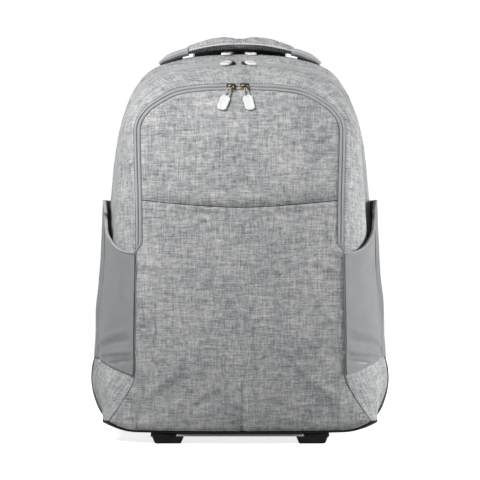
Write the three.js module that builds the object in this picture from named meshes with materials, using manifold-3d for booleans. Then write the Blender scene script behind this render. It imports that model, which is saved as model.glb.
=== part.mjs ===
// Wheeled backpack with a telescopic trolley handle. Millimetres, +Z up.
// The front faces -Y, the wheels are at the back (+Y), +X is the viewer's right, the floor is z = 0.
import * as THREE from 'three';
import { mergeVertices } from 'three/addons/utils/BufferGeometryUtils.js';
import Module from 'manifold-3d';

const wasm = await Module();
wasm.setup();

// Body sizes
const BODY_HALF_WIDTH = 175.5;
const BODY_CREST = 449.5;
const FRONT_HALF_WIDTH = 123;
const FRONT_CREST = 419;
const FRONT_REACH = 106;
const CORNER_DROP = 26;
const MAIN_Y = 2;
const REAR_Y = 53;
const BACK_Y = 80;
const REAR_RISE = 14;
const REAR_NARROW = 0.985;
const BACK_INSET = 5;
const MIDDLE_RISE = 0.93;
const BACK_RISE = 0.8;
const RISE_POWER = 8;
const BASE_Z = 15.5;
const SKIN_WALL = 2.4;
const SEAM = 0.3;
const EDGE_BEVEL = 0.8;

// Zip tapes
const FRONT_TAPE = 8;
const SEAM_BINDING = 1.5;
const TAPE_END_ROW = 4.15;
const TAPE_END_BLEND = 0.12;
const MAIN_TAPE_FACE = 6;
const MAIN_TAPE_DEEP = 13;
const REAR_TAPE = 9;

// Slash pocket across the front panel
const SLASH_ROW = 5;
const SLASH_DIP = 8.5;
const SLASH_POWER = 1.6;

// Stretch pockets on both sides
const POCKET_WALL = 1.3;
const POCKET_PUFF = 6;
const POCKET_GAPE = 3.4;
const POCKET_FRONT_ROW = 4.12;
const POCKET_RISE_ROWS = 1.05;
const POCKET_RISE_SPAN = 1.7;
const POCKET_BACK = 4;
const POCKET_FOOT_SHARE = 0.45;
const POCKET_GAPE_SHARE = 0.6;
const POCKET_CROWN_POWER = 0.8;
const CORNER_ROW = 2;

// Base tray, rail and feet
const BASE_WALL = 2.2;
const TRAY_GAP = 0.7;
const BASE_LIFT_START = 0.78;
const BASE_LIFT_POWER = 2;
const RAIL_HALF_WIDTH = 74;
const RAIL_HEIGHT = 3.2;
const RAIL_DEPTH = 9;
const RAIL_Y = -91;
const FOOT_INNER_X = 63.5;
const FOOT_OUTER_X = 103.5;
const FOOT_SLOPE = 5;
const FOOT_DEPTH = 34;
const FOOT_Y = -88;

// Wheels and their housings
const WHEEL_RADIUS = 34;
const WHEEL_WIDTH = 26;
const WHEEL_INNER_X = 120;
const WHEEL_Y = 72;
const WELL_GAP = 3.6;
const WHEEL_SIDE_GAP = 1.2;
const TYRE_CROWN = 4;
const TYRE_SHOULDER = 5;
const TYRE_INSET = 2;
const HUB_RADIUS = 21;
const HUB_RIM = 4;
const BOSS_WALL = 4;
const AXLE_RADIUS = 4;
const AXLE_GAP = 0.35;
const AXLE_IN_CHEEK = 9;
const HOUSING_INNER_X = 108;
const HOUSING_FRONT_Y = 28;
const HOUSING_BACK_Y = 84;
const HOUSING_BASE_Z = 12.5;
const HOUSING_TOP_GAP = 1;

// Padded back panel
const BACK_PAD = 9;

// Trolley handle
const TROLLEY_X = 50;
const TROLLEY_Y = 67;
const TUBE_WIDTH = 22;
const TUBE_DEPTH = 14;
const TUBE_WALL = 1.2;
const TUBE_CORNER = 2.5;
const TUBE_GAP = 0.4;
const COLLAR_HALF_WIDTH = 68;
const COLLAR_DEPTH = 19;
const COLLAR_TOP = 458;
const COLLAR_HEIGHT = 13;
const COLLAR_CORNER = 4;
const STAGE_TRAVEL = 255;
const STAGE_OVERLAP = 60;
const GRIP_HALF_WIDTH = 56;
const GRIP_DEPTH = 17;
const GRIP_HEIGHT = 14.4;
const GRIP_SOCKET = 8;
const GRIP_CORNER = 6;
const GRIP_BEVEL = 2.5;
const BUTTON_HALF_WIDTH = 11;
const BUTTON_DEPTH = 8;
const BUTTON_HEIGHT = 5.5;
const BUTTON_PROUD = 1.3;
const BUTTON_CORNER = 2.5;
const BUTTON_TRAVEL = 2.5;
const BUTTON_GAP = 0.4;

// Carry handle on top
const CARRY_Y = 33;
const CARRY_HALF_LENGTH = 66;
const CARRY_MID_Z = 474.5;
const CARRY_END_DROP = 9.5;
const CARRY_HALF_HEIGHT = 9;
const CARRY_HALF_DEPTH = 12;
const CARRY_END_SHARE = 0.6;
const CARRY_DROP_POWER = 2.2;
const CARRY_TAPER_POWER = 4;
const CARRY_STRAP_WIDTH = 24;
const CARRY_STRAP_WALL = 6;
const CARRY_STRAP_FOOT_WALL = 2.4;
const CARRY_STRAP_BOW = 3.4;
const CARRY_FOOT_ROW = 10.18;
const CARRY_FOOT_W = 3.82;

// Shoulder straps on the back
const STRAP_WALL = 11;
const STRAP_WIDTH = 64;
const STRAP_OFF = 5.2;
const ANCHOR_INSET = 47.5;
const ANCHOR_HIGH = 104;
const WEBBING_WIDTH = 24;
const WEBBING_WALL = 1.8;
const BUCKLE_WIDTH = 36;
const BUCKLE_HEIGHT = 26;
const BUCKLE_WALL = 4;
const BUCKLE_BAR = 5;
const BUCKLE_DROP = 6;
const BUCKLE_CORNER = 3;
const SLOT_ROOM = 1;
const STRAP_BACK_GAP = 0.5;

// Zip sliders and pulls
const SLIDER_LENGTH = 11;
const SLIDER_WIDTH = 7.5;
const SLIDER_HEIGHT = 3.2;
const SLIDER_CORNER = 2;
const TAB_WIDTH = 11.6;
const TAB_LENGTH = 19.5;
const TAB_WALL = 3;
const TAB_CORNER = 4;
const TAB_RAISE = 3;
const LOOP_RADIUS = 0.9;
const LOOP_SPREAD = 2.6;
const LOOP_ROOT = 2;
const LOOP_REACH = 2.5;
const LOOP_RISE = 0.6;
const LOOP_TIP = 1.5;
const PULL_LIFT = 0.6;

// One row for each place along one half of the outline seen from the front, from the base to the
// crest. front: where the front face turns into the side. body: the widest outline of the body.
// Wide is a share of the half width, high a share of the crest's height.
const OUTLINE_ROWS = [
  { frontWide: 1.252, frontHigh: 0.062, bodyWide: 0.929, bodyHigh: 0.059 },
  { frontWide: 1.085, frontHigh: 0.134, bodyWide: 1.0, bodyHigh: 0.138 },
  { frontWide: 1.0, frontHigh: 0.191, bodyWide: 0.986, bodyHigh: 0.214 },
  { frontWide: 0.992, frontHigh: 0.315, bodyWide: 0.95, bodyHigh: 0.311 },
  { frontWide: 0.98, frontHigh: 0.506, bodyWide: 0.912, bodyHigh: 0.456 },
  { frontWide: 0.984, frontHigh: 0.673, bodyWide: 0.883, bodyHigh: 0.605 },
  { frontWide: 1.0, frontHigh: 0.82, bodyWide: 0.855, bodyHigh: 0.73 },
  { frontWide: 0.995, frontHigh: 0.886, bodyWide: 0.826, bodyHigh: 0.805 },
  { frontWide: 0.905, frontHigh: 0.931, bodyWide: 0.779, bodyHigh: 0.868 },
  { frontWide: 0.76, frontHigh: 0.963, bodyWide: 0.71, bodyHigh: 0.923 },
  { frontWide: 0.6, frontHigh: 0.986, bodyWide: 0.59, bodyHigh: 0.969 },
  { frontWide: 0.35, frontHigh: 0.997, bodyWide: 0.35, bodyHigh: 0.993 },
  { frontWide: 0, frontHigh: 1, bodyWide: 0, bodyHigh: 1 },
];
const CREST_ROW = OUTLINE_ROWS.length - 1;
const LAST_ROW = 2 * CREST_ROW;
const STRAIGHT_ROW = 7;
const TOP_CORNER_ROW = 7.7;

// The front face from the side: how far forward its middle stands, and how far its edges fall back.
const PROFILE_ROWS = [
  { high: 0.0, reach: 0.88, fall: 1.0 },
  { high: 0.07, reach: 0.935, fall: 0.92 },
  { high: 0.143, reach: 0.972, fall: 0.65 },
  { high: 0.203, reach: 0.99, fall: 0.42 },
  { high: 0.31, reach: 1.0, fall: 0.29 },
  { high: 0.525, reach: 0.992, fall: 0.27 },
  { high: 0.692, reach: 0.955, fall: 0.27 },
  { high: 0.835, reach: 0.86, fall: 0.23 },
  { high: 0.93, reach: 0.745, fall: 0.19 },
  { high: 1.0, reach: 0.62, fall: 0.15 },
];
const FALL_POWER = 2.4;
const FALL_END_SHARE = 1.05;

// How far each strip of the skin bulges outward between its two outlines, from front to back.
const SKIN_BULGE = [0, 7, 0.6, 2.5, 0, 2];

// The shoulder strap seen from behind. Out is a share of the body's half width, high of its crest,
// off of the strap's farthest stand off the back, wide of its greatest width.
const STRAP_ROWS = [
  { out: 0.205, high: 0.974, off: 0.38, wide: 0.91 },
  { out: 0.239, high: 0.89, off: 0.77, wide: 0.97 },
  { out: 0.296, high: 0.779, off: 1, wide: 1 },
  { out: 0.365, high: 0.667, off: 0.96, wide: 0.94 },
  { out: 0.427, high: 0.556, off: 0.77, wide: 0.81 },
  { out: 0.467, high: 0.456, off: 0.38, wide: 0.66 },
  { out: 0.484, high: 0.4, off: 0.19, wide: 0.53 },
];

// The zip pulls. W is the zip's line on the skin. At is where the slider sits, in slider lengths from
// the middle, hang is how far below it the tab's middle lies, in tab lengths, swing how far the tab
// lies to the side, in tab widths, and raise how much its upper end stands off, in full raises.
const PULLS = [
  { zip: 'front', side: 'left', w: 0.5, at: -0.955, hang: 1.05, swing: -0.72, raise: 0 },
  { zip: 'front', side: 'right', w: 0.5, at: 0.455, hang: 1.05, swing: 0.47, raise: 0 },
  { zip: 'main', side: 'left', w: 2.5, at: -1, hang: 1.03, swing: -0.47, raise: 1 },
  { zip: 'main', side: 'right', w: 2.5, at: 0.636, hang: 1.03, swing: 0.47, raise: 1 },
  { zip: 'rear', side: 'left', w: 4.5, at: -1, hang: 0.92, swing: -0.43, raise: 0 },
  { zip: 'rear', side: 'right', w: 4.5, at: 0.727, hang: 0.92, swing: 0.43, raise: 0 },
];

// Colours and finishes
const FINISH = {
  melange: { color: 0xaeb2b5, roughness: 0.9, metalness: 0 },
  tape: { color: 0x9b9d9f, roughness: 0.85, metalness: 0 },
  lycra: { color: 0x8d8e8e, roughness: 0.7, metalness: 0 },
  mesh: { color: 0x7c7e80, roughness: 0.95, metalness: 0 },
  webbing: { color: 0x93969a, roughness: 0.85, metalness: 0 },
  black: { color: 0x17181a, roughness: 0.6, metalness: 0 },
  guard: { color: 0x55575a, roughness: 0.55, metalness: 0 },
  rail: { color: 0xb4b6b8, roughness: 0.5, metalness: 0 },
  metal: { color: 0xb9bcc0, roughness: 0.35, metalness: 0.9 },
  gunmetal: { color: 0x6d675c, roughness: 0.4, metalness: 0.9 },
  tab: { color: 0xb5b7b8, roughness: 0.6, metalness: 0 },
  rubber: { color: 0x222224, roughness: 0.85, metalness: 0 },
};

const group = new THREE.Group();

function addPiece(name, geometry, finish) {
  const mesh = new THREE.Mesh(geometry, new THREE.MeshStandardMaterial(FINISH[finish]));
  mesh.name = name;
  group.add(mesh);
  return mesh;
}

// Curves and tables

function smooth(share) {
  const t = THREE.MathUtils.clamp(share, 0, 1);
  return t * t * (3 - 2 * t);
}

function sampleRows(rows, key, at, column) {
  let i = rows.findIndex((row) => row[key] >= at);
  i = THREE.MathUtils.clamp(i < 0 ? rows.length - 1 : i, 1, rows.length - 1);
  const pick = (k) => rows[THREE.MathUtils.clamp(k, 0, rows.length - 1)];
  const slope = (k) => (pick(k + 1)[column] - pick(k - 1)[column]) / (pick(k + 1)[key] - pick(k - 1)[key]);
  const [low, high] = [rows[i - 1], rows[i]];
  const span = high[key] - low[key];
  const t = THREE.MathUtils.clamp((at - low[key]) / span, 0, 1);
  const ease = t * t * (3 - 2 * t);
  const bend = t * (1 - t) * span * ((1 - t) * slope(i - 1) - t * slope(i));
  return low[column] + (high[column] - low[column]) * ease + bend;
}

function archCurve(wide, high, halfWidth, crest) {
  const half = OUTLINE_ROWS.map((row) => new THREE.Vector2(-row[wide] * halfWidth, row[high] * crest));
  const other = half.slice(0, -1).reverse().map((point) => new THREE.Vector2(-point.x, point.y));
  return new THREE.SplineCurve([...half, ...other]);
}

const frontArch = archCurve('frontWide', 'frontHigh', FRONT_HALF_WIDTH, FRONT_CREST);
const bodyArch = archCurve('bodyWide', 'bodyHigh', BODY_HALF_WIDTH, BODY_CREST);

function archAt(curve, row) {
  return curve.getPoint(THREE.MathUtils.clamp(row, 0, LAST_ROW) / LAST_ROW);
}

// Towards the inside of an arch, square to it, in the front view
function archInward(curve, row) {
  const step = 0.2;
  const ahead = archAt(curve, Math.min(row + step, LAST_ROW));
  const along = ahead.sub(archAt(curve, Math.max(row - step, 0))).normalize();
  return new THREE.Vector2(along.y, -along.x);
}

function archInset(curve, row, inset) {
  return archAt(curve, row).addScaledVector(archInward(curve, row), inset);
}

// Half the width of the front face at a height
function frontHalfAt(z) {
  const rows = OUTLINE_ROWS.slice(0, STRAIGHT_ROW + 1);
  const wide = sampleRows(rows, 'frontHigh', z / FRONT_CREST, 'frontWide');
  return wide * FRONT_HALF_WIDTH;
}

function frontY(x, z) {
  const high = z / FRONT_CREST;
  const reach = sampleRows(PROFILE_ROWS, 'high', high, 'reach') * FRONT_REACH;
  const fall = sampleRows(PROFILE_ROWS, 'high', high, 'fall') * CORNER_DROP;
  const share = Math.min(Math.abs(x) / frontHalfAt(z), FALL_END_SHARE);
  return fall * share ** FALL_POWER - reach;
}

// The tape is a narrow binding under the pockets' mouths and widens to the zip above them
function tapeWidth(row) {
  const fromBase = Math.min(row, LAST_ROW - row);
  const widened = smooth((fromBase - TAPE_END_ROW) / TAPE_END_BLEND);
  return SEAM_BINDING + (FRONT_TAPE - SEAM_BINDING) * widened;
}

function rearPoint(row, rise, inset, y) {
  const point = archInset(bodyArch, row, inset);
  const lift = REAR_RISE * rise * Math.max(point.y / BODY_CREST, 0) ** RISE_POWER;
  return new THREE.Vector3(point.x * REAR_NARROW, y, point.y + lift);
}

function onFront(point) {
  return new THREE.Vector3(point.x, frontY(point.x, point.y), point.y);
}

// The outlines that the body's skin runs through, from the front face to the back panel
const STATIONS = [
  (row) => onFront(archInset(frontArch, row, tapeWidth(row))),
  (row) => onFront(archAt(frontArch, row)),
  (row) => {
    const point = archInset(bodyArch, row, MAIN_TAPE_FACE);
    return new THREE.Vector3(point.x, MAIN_Y - MAIN_TAPE_DEEP, point.y);
  },
  (row) => rearPoint(row, 0, 0, MAIN_Y).multiply(new THREE.Vector3(1 / REAR_NARROW, 1, 1)),
  (row) => rearPoint(row, MIDDLE_RISE, 0, REAR_Y - REAR_TAPE),
  (row) => rearPoint(row, 1, 0, REAR_Y),
  (row) => rearPoint(row, BACK_RISE, BACK_INSET, BACK_Y),
];
const LAST_STATION = STATIONS.length - 1;

// A point on the body's skin: row runs along the arch, w from the front face to the back
function skin(row, w) {
  const strip = Math.min(Math.floor(w), LAST_STATION - 1);
  const v = w - strip;
  const point = STATIONS[strip](row).lerp(STATIONS[strip + 1](row), v);
  const inward = archInward(bodyArch, row);
  const bulge = SKIN_BULGE[strip] * 4 * v * (1 - v);
  return point.add(new THREE.Vector3(-inward.x * bulge, 0, -inward.y * bulge));
}

// The skin's outward direction. Both pieces that meet along a station take the same one there:
// straight forward at the front panel's edge, and level along the base.
function skinOutward(row, w) {
  const [rowStep, wStep, nearStation, nearBase] = [0.15, 0.05, 0.15, 0.05];
  const at = Math.abs(w - Math.round(w)) < nearStation ? Math.round(w) : w;
  if (at === 0) return new THREE.Vector3(0, -1, 0);
  const here = skin(row, at);
  const along = skin(Math.min(row + rowStep, LAST_ROW), at).sub(skin(Math.max(row - rowStep, 0), at));
  const across = new THREE.Vector3();
  if (at < LAST_STATION) across.add(skin(row, Math.min(at + wStep, LAST_STATION)).sub(here).normalize());
  if (at > 0) across.add(here.clone().sub(skin(row, Math.max(at - wStep, 0))).normalize());
  const outward = along.cross(across);
  if (row < nearBase || row > LAST_ROW - nearBase) outward.z = 0;
  return outward.normalize();
}

// Closed meshes

function closedGeometry(points, faces) {
  const geometry = new THREE.BufferGeometry();
  const signedVolume = faces.reduce((sum, [a, b, c]) => {
    const turned = new THREE.Vector3().crossVectors(points[b], points[c]);
    return sum + points[a].dot(turned);
  }, 0);
  const facing = signedVolume < 0 ? faces.map(([a, b, c]) => [a, c, b]) : faces;
  geometry.setFromPoints(points);
  geometry.setIndex(facing.flat());
  return geometry;
}

// A sheet with thickness: outer[i][j] and inner[i][j] are matching grids of points
function sheetGeometry(outer, inner) {
  const [rows, columns] = [outer.length, outer[0].length];
  const points = [...outer.flat(), ...inner.flat()];
  const at = (layer, i, j) => layer * rows * columns + i * columns + j;
  const faces = [];
  const quad = (a, b, c, d) => faces.push([a, b, c], [a, c, d]);
  for (let i = 0; i < rows - 1; i += 1) {
    for (let j = 0; j < columns - 1; j += 1) {
      quad(at(0, i, j), at(0, i + 1, j), at(0, i + 1, j + 1), at(0, i, j + 1));
      quad(at(1, i, j), at(1, i, j + 1), at(1, i + 1, j + 1), at(1, i + 1, j));
    }
  }
  for (let i = 0; i < rows - 1; i += 1) {
    quad(at(0, i, 0), at(1, i, 0), at(1, i + 1, 0), at(0, i + 1, 0));
    quad(at(0, i, columns - 1), at(0, i + 1, columns - 1), at(1, i + 1, columns - 1), at(1, i, columns - 1));
  }
  for (let j = 0; j < columns - 1; j += 1) {
    quad(at(0, 0, j), at(0, 0, j + 1), at(1, 0, j + 1), at(1, 0, j));
    quad(at(0, rows - 1, j), at(1, rows - 1, j), at(1, rows - 1, j + 1), at(0, rows - 1, j + 1));
  }
  return closedGeometry(points, faces);
}

// A closed tube through rings of points, with a flat end at both ends
function ringGeometry(rings) {
  const around = rings[0].length;
  const points = rings.flat();
  const faces = [];
  for (let i = 0; i < rings.length - 1; i += 1) {
    for (let j = 0; j < around; j += 1) {
      const next = (j + 1) % around;
      const [a, b] = [i * around + j, i * around + next];
      faces.push([a, b, b + around], [a, b + around, a + around]);
    }
  }
  [0, rings.length - 1].forEach((end) => {
    const middle = points.length;
    const centre = rings[end].reduce((sum, p) => sum.add(p), new THREE.Vector3());
    points.push(centre.divideScalar(around));
    for (let j = 0; j < around; j += 1) {
      const [a, b] = [end * around + j, end * around + (j + 1) % around];
      faces.push(end === 0 ? [b, a, middle] : [a, b, middle]);
    }
  });
  return closedGeometry(points, faces);
}

function range(from, to, steps) {
  return Array.from({ length: steps + 1 }, (_, i) => from + ((to - from) * i) / steps);
}

// A piece of the skin between two rows and two stations, its edges half a seam gap inside them
function skinPiece(rowList, wList, stepsAcross, wall) {
  const trimmed = (row, w, other) => {
    const near = skin(row, w).distanceTo(skin(row, w + Math.sign(other - w) * 0.1)) / 0.1;
    return w + (Math.sign(other - w) * SEAM) / 2 / near;
  };
  const outer = [];
  const inner = [];
  rowList.forEach((row) => {
    const first = trimmed(row, wList[0], wList[1]);
    const last = trimmed(row, wList[1], wList[0]);
    const line = range(first, last, stepsAcross);
    outer.push(line.map((w) => skin(row, w)));
    inner.push(line.map((w) => skin(row, w).addScaledVector(skinOutward(row, w), -wall)));
  });
  return sheetGeometry(outer, inner);
}

// Half a seam gap, as a share of a row near the corner seam
const ROW_GAP = SEAM / 2 / (FRONT_CREST * (OUTLINE_ROWS[2].frontHigh - OUTLINE_ROWS[1].frontHigh));

// Booleans

function toSolid(geometry) {
  const bare = new THREE.BufferGeometry();
  bare.setAttribute('position', geometry.getAttribute('position').clone());
  if (geometry.index) bare.setIndex(geometry.index.clone());
  const merged = mergeVertices(bare, 1e-4);
  const vertProperties = new Float32Array(merged.getAttribute('position').array);
  const triVerts = new Uint32Array(merged.index.array);
  return new wasm.Manifold(new wasm.Mesh({ numProp: 3, vertProperties, triVerts }));
}

function toGeometry(solid) {
  const mesh = solid.getMesh();
  const geometry = new THREE.BufferGeometry();
  geometry.setAttribute('position', new THREE.BufferAttribute(mesh.vertProperties, 3));
  geometry.setIndex(new THREE.BufferAttribute(mesh.triVerts, 1));
  return geometry;
}

function cut(geometry, ...cutters) {
  const solid = cutters.reduce((left, cutter) => left.subtract(toSolid(cutter)), toSolid(geometry));
  return toGeometry(solid);
}

function mirrorX(geometry) {
  const mirrored = geometry.clone().applyMatrix4(new THREE.Matrix4().makeScale(-1, 1, 1));
  const index = mirrored.index ? mirrored.index.array : [...mirrored.getAttribute('position').array.keys()];
  const count = mirrored.index ? index.length : mirrored.getAttribute('position').count;
  const faces = [];
  for (let i = 0; i < count; i += 3) faces.push(index[i], index[i + 2], index[i + 1]);
  mirrored.setIndex(faces);
  return mirrored;
}

function box(x0, x1, y0, y1, z0, z1) {
  const geometry = new THREE.BoxGeometry(x1 - x0, y1 - y0, z1 - z0);
  return geometry.translate((x0 + x1) / 2, (y0 + y1) / 2, (z0 + z1) / 2);
}

// A shape drawn in the front view, from one depth to another
function extrudeFront(shape, yFront, yBack, bevel = 0, segments = 3) {
  const depth = yBack - yFront - 2 * bevel;
  const geometry = new THREE.ExtrudeGeometry(shape, {
    depth, steps: 1, curveSegments: segments,
    bevelEnabled: bevel > 0, bevelThickness: bevel, bevelSize: bevel, bevelOffset: -bevel, bevelSegments: 1,
  });
  return geometry.rotateX(Math.PI / 2).translate(0, yBack - bevel, 0);
}

function roundedRect(halfX, halfY, radius) {
  const shape = new THREE.Shape();
  shape.moveTo(-halfX + radius, -halfY);
  shape.lineTo(halfX - radius, -halfY);
  shape.absarc(halfX - radius, -halfY + radius, radius, -Math.PI / 2, 0);
  shape.lineTo(halfX, halfY - radius);
  shape.absarc(halfX - radius, halfY - radius, radius, 0, Math.PI / 2);
  shape.lineTo(-halfX + radius, halfY);
  shape.absarc(-halfX + radius, halfY - radius, radius, Math.PI / 2, Math.PI);
  shape.lineTo(-halfX, -halfY + radius);
  shape.absarc(-halfX + radius, -halfY + radius, radius, Math.PI, Math.PI * 1.5);
  return shape;
}

// A shape drawn in the plan view, from one height to another
function extrudeUp(shape, z0, z1, bevel = 0, segments = 3) {
  const geometry = new THREE.ExtrudeGeometry(shape, {
    depth: z1 - z0 - 2 * bevel, steps: 1, curveSegments: segments,
    bevelEnabled: bevel > 0, bevelThickness: bevel, bevelSize: bevel, bevelOffset: -bevel, bevelSegments: 1,
  });
  return geometry.translate(0, 0, z0 + bevel);
}

// Body skin: zip tapes and gussets

const SKIN_STRIPS = [
  { name: 'front_zip_tape', from: 0, to: 1, steps: 1, finish: 'tape' },
  { name: 'front_gusset', from: 1, to: 2, steps: 4, finish: 'melange' },
  { name: 'main_zip_tape', from: 2, to: 3, steps: 1, finish: 'tape' },
  { name: 'rear_gusset', from: 3, to: 4, steps: 2, finish: 'melange' },
  { name: 'rear_zip_tape', from: 4, to: 5, steps: 1, finish: 'tape' },
  { name: 'back_gusset', from: 5, to: 6, steps: 2, finish: 'melange' },
];
const ROW_STEPS = 2;

function stripRows(first, last) {
  return range(first, last, Math.round((last - first) * ROW_STEPS));
}

// The rows of the front tape. The front panels share them, so their edges run side by side.
const turningRows = [TAPE_END_ROW, TAPE_END_ROW + TAPE_END_BLEND, TOP_CORNER_ROW];
const halfRows = [...stripRows(0, CREST_ROW).slice(1), ...turningRows].sort((a, b) => a - b);
const tapeRows = [ROW_GAP, ...halfRows, ...halfRows.slice(0, -1).reverse().map((row) => LAST_ROW - row)];
tapeRows.push(LAST_ROW - ROW_GAP);

const collarHole = box(
  -COLLAR_HALF_WIDTH - SEAM, COLLAR_HALF_WIDTH + SEAM,
  TROLLEY_Y - COLLAR_DEPTH / 2 - SEAM, TROLLEY_Y + COLLAR_DEPTH / 2 + SEAM,
  COLLAR_TOP - COLLAR_HEIGHT - REAR_RISE, COLLAR_TOP + 2 * REAR_RISE,
);

SKIN_STRIPS.forEach((strip) => {
  const start = CORNER_ROW + ROW_GAP;
  const rows = strip.from === 0 ? tapeRows : stripRows(start, LAST_ROW - start);
  const geometry = skinPiece(rows, [strip.from, strip.to], strip.steps, SKIN_WALL);
  addPiece(strip.name, strip.name === 'back_gusset' ? cut(geometry, collarHole) : geometry, strip.finish);
});

// Lower corner panels, from the front seam back to the wheel housings
const cornerBack = 3 + (HOUSING_FRONT_Y - MAIN_Y) / (REAR_Y - REAR_TAPE - MAIN_Y);
const cornerRows = range(ROW_GAP, CORNER_ROW - ROW_GAP, 4);
const corner = skinPiece(cornerRows, [1, cornerBack], 8, SKIN_WALL);
addPiece('base_corner_left', corner, 'melange');
addPiece('base_corner_right', mirrorX(corner), 'melange');

// Base: where the fabric's lower edge runs, and the black tray under it

function basePoint(share, back) {
  const edge = skin(0, 1 + back * (LAST_STATION - 1));
  const ramp = Math.max((Math.abs(share) - BASE_LIFT_START) / (1 - BASE_LIFT_START), 0) ** BASE_LIFT_POWER;
  const z = BASE_Z + (edge.z - BASE_Z) * ramp;
  const x = Math.abs(edge.x) * share;
  const y = edge.y + (frontY(x, z) - skin(0, 1).y) * (1 - back);
  return new THREE.Vector3(x, y, z);
}

const BASE_SHARES = [0, 0.3, 0.6, 0.78, 0.85, 0.9, 0.95, 1];
const baseShares = [...BASE_SHARES.slice(1).reverse().map((share) => -share), ...BASE_SHARES];
const underTray = new THREE.Vector3(0, 0, -BASE_WALL);
const underSeam = new THREE.Vector3(0, 0, -TRAY_GAP);
const trayPoint = (share) => range(0, 1, 7).map((back) => basePoint(share, back).add(underSeam));
const trayTop = baseShares.map(trayPoint);
const trayUnder = trayTop.map((line) => line.map((point) => point.clone().add(underTray)));

// Wheel housings: the outline seen from the front, the wheel's well and the axle's bore

const housingTop = OUTLINE_ROWS[CORNER_ROW].bodyHigh * BODY_CREST - HOUSING_TOP_GAP;
const HOUSING_ROWS = [
  { wide: 0.87, high: 0 },
  { wide: 0.955, high: 0.14 },
  { wide: 1.008, high: 0.38 },
  { wide: 1.03, high: 0.62 },
  { wide: 1.026, high: 0.84 },
  { wide: 1.008, high: 1 },
];

function housingShape(grow) {
  const high = housingTop - HOUSING_BASE_Z;
  const shape = new THREE.Shape();
  shape.moveTo(HOUSING_INNER_X - grow, HOUSING_BASE_Z - grow);
  HOUSING_ROWS.forEach((row, i) => {
    const lift = i === 0 ? -grow : 0;
    const top = i === HOUSING_ROWS.length - 1 ? grow : 0;
    shape.lineTo(row.wide * BODY_HALF_WIDTH + grow, HOUSING_BASE_Z + row.high * high + lift + top);
  });
  shape.lineTo(HOUSING_INNER_X - grow, housingTop + grow);
  return shape;
}

function crossCylinder(radius, x0, x1, y, z, sides) {
  const geometry = new THREE.CylinderGeometry(radius, radius, x1 - x0, sides);
  return geometry.rotateZ(Math.PI / 2).translate((x0 + x1) / 2, y, z);
}

const WHEEL_OUTER_X = WHEEL_INNER_X + WHEEL_WIDTH;
const wellInner = WHEEL_INNER_X - WHEEL_SIDE_GAP;
const wellOuter = WHEEL_OUTER_X + WHEEL_SIDE_GAP;
const wheelWell = crossCylinder(WHEEL_RADIUS + WELL_GAP, wellInner, wellOuter, WHEEL_Y, WHEEL_RADIUS, 28);
const wellMouth = box(wellInner, wellOuter, WHEEL_Y, WHEEL_Y + 2 * WHEEL_RADIUS, -WHEEL_RADIUS, WHEEL_RADIUS);
const axleBore = crossCylinder(
  AXLE_RADIUS + AXLE_GAP, HOUSING_INNER_X - 1, wellOuter + AXLE_IN_CHEEK + SEAM, WHEEL_Y, WHEEL_RADIUS, 14,
);
const housingBody = extrudeFront(housingShape(0), HOUSING_FRONT_Y + SEAM, HOUSING_BACK_Y);
const housing = cut(housingBody, wheelWell, wellMouth, axleBore);
const housingRoom = extrudeFront(housingShape(SEAM), HOUSING_FRONT_Y, HOUSING_BACK_Y + 2 * BACK_PAD);
addPiece('wheel_housing_left', mirrorX(housing), 'guard');
addPiece('wheel_housing_right', housing, 'guard');
const bothRooms = [housingRoom, mirrorX(housingRoom)];
addPiece('base_tray', cut(sheetGeometry(trayTop, trayUnder), ...bothRooms), 'black');

// Wheels

function latheAcross(profile, segments) {
  const points = profile.map(([radius, x]) => new THREE.Vector2(radius, x));
  points.push(points[0].clone());
  return new THREE.LatheGeometry(points, segments).rotateZ(-Math.PI / 2);
}

const halfWheel = WHEEL_WIDTH / 2;
const bore = AXLE_RADIUS + AXLE_GAP;
const tyreSeat = HUB_RADIUS + SEAM;
const tyre = latheAcross([
  [tyreSeat, -halfWheel + TYRE_INSET], [WHEEL_RADIUS - TYRE_CROWN, -halfWheel],
  [WHEEL_RADIUS, -halfWheel + TYRE_SHOULDER], [WHEEL_RADIUS, halfWheel - TYRE_SHOULDER],
  [WHEEL_RADIUS - TYRE_CROWN, halfWheel], [tyreSeat, halfWheel - TYRE_INSET],
], 24);
const hub = latheAcross([
  [bore, -halfWheel], [bore + BOSS_WALL, -halfWheel], [bore + BOSS_WALL + 1, -halfWheel + HUB_RIM],
  [HUB_RADIUS - HUB_RIM, -halfWheel + HUB_RIM + 1], [HUB_RADIUS, -halfWheel + TYRE_INSET],
  [HUB_RADIUS, halfWheel - TYRE_INSET], [HUB_RADIUS - HUB_RIM, halfWheel - HUB_RIM - 1],
  [bore + BOSS_WALL + 1, halfWheel - HUB_RIM], [bore + BOSS_WALL, halfWheel], [bore, halfWheel],
], 16);
const axle = crossCylinder(
  AXLE_RADIUS, HOUSING_INNER_X + 1, wellOuter + AXLE_IN_CHEEK, WHEEL_Y, WHEEL_RADIUS, 14,
);

[['left', -1], ['right', 1]].forEach(([side, sign]) => {
  const middle = sign * (WHEEL_INNER_X + halfWheel);
  const wheel = new THREE.Group();
  wheel.position.set(middle, WHEEL_Y, WHEEL_RADIUS);
  group.add(wheel);
  wheel.add(addPiece(`tyre_${side}`, tyre.clone(), 'rubber'));
  wheel.add(addPiece(`hub_${side}`, hub.clone(), 'guard'));
  addPiece(`axle_${side}`, sign > 0 ? axle : mirrorX(axle), 'metal');
});

// Rail and feet under the front edge

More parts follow.
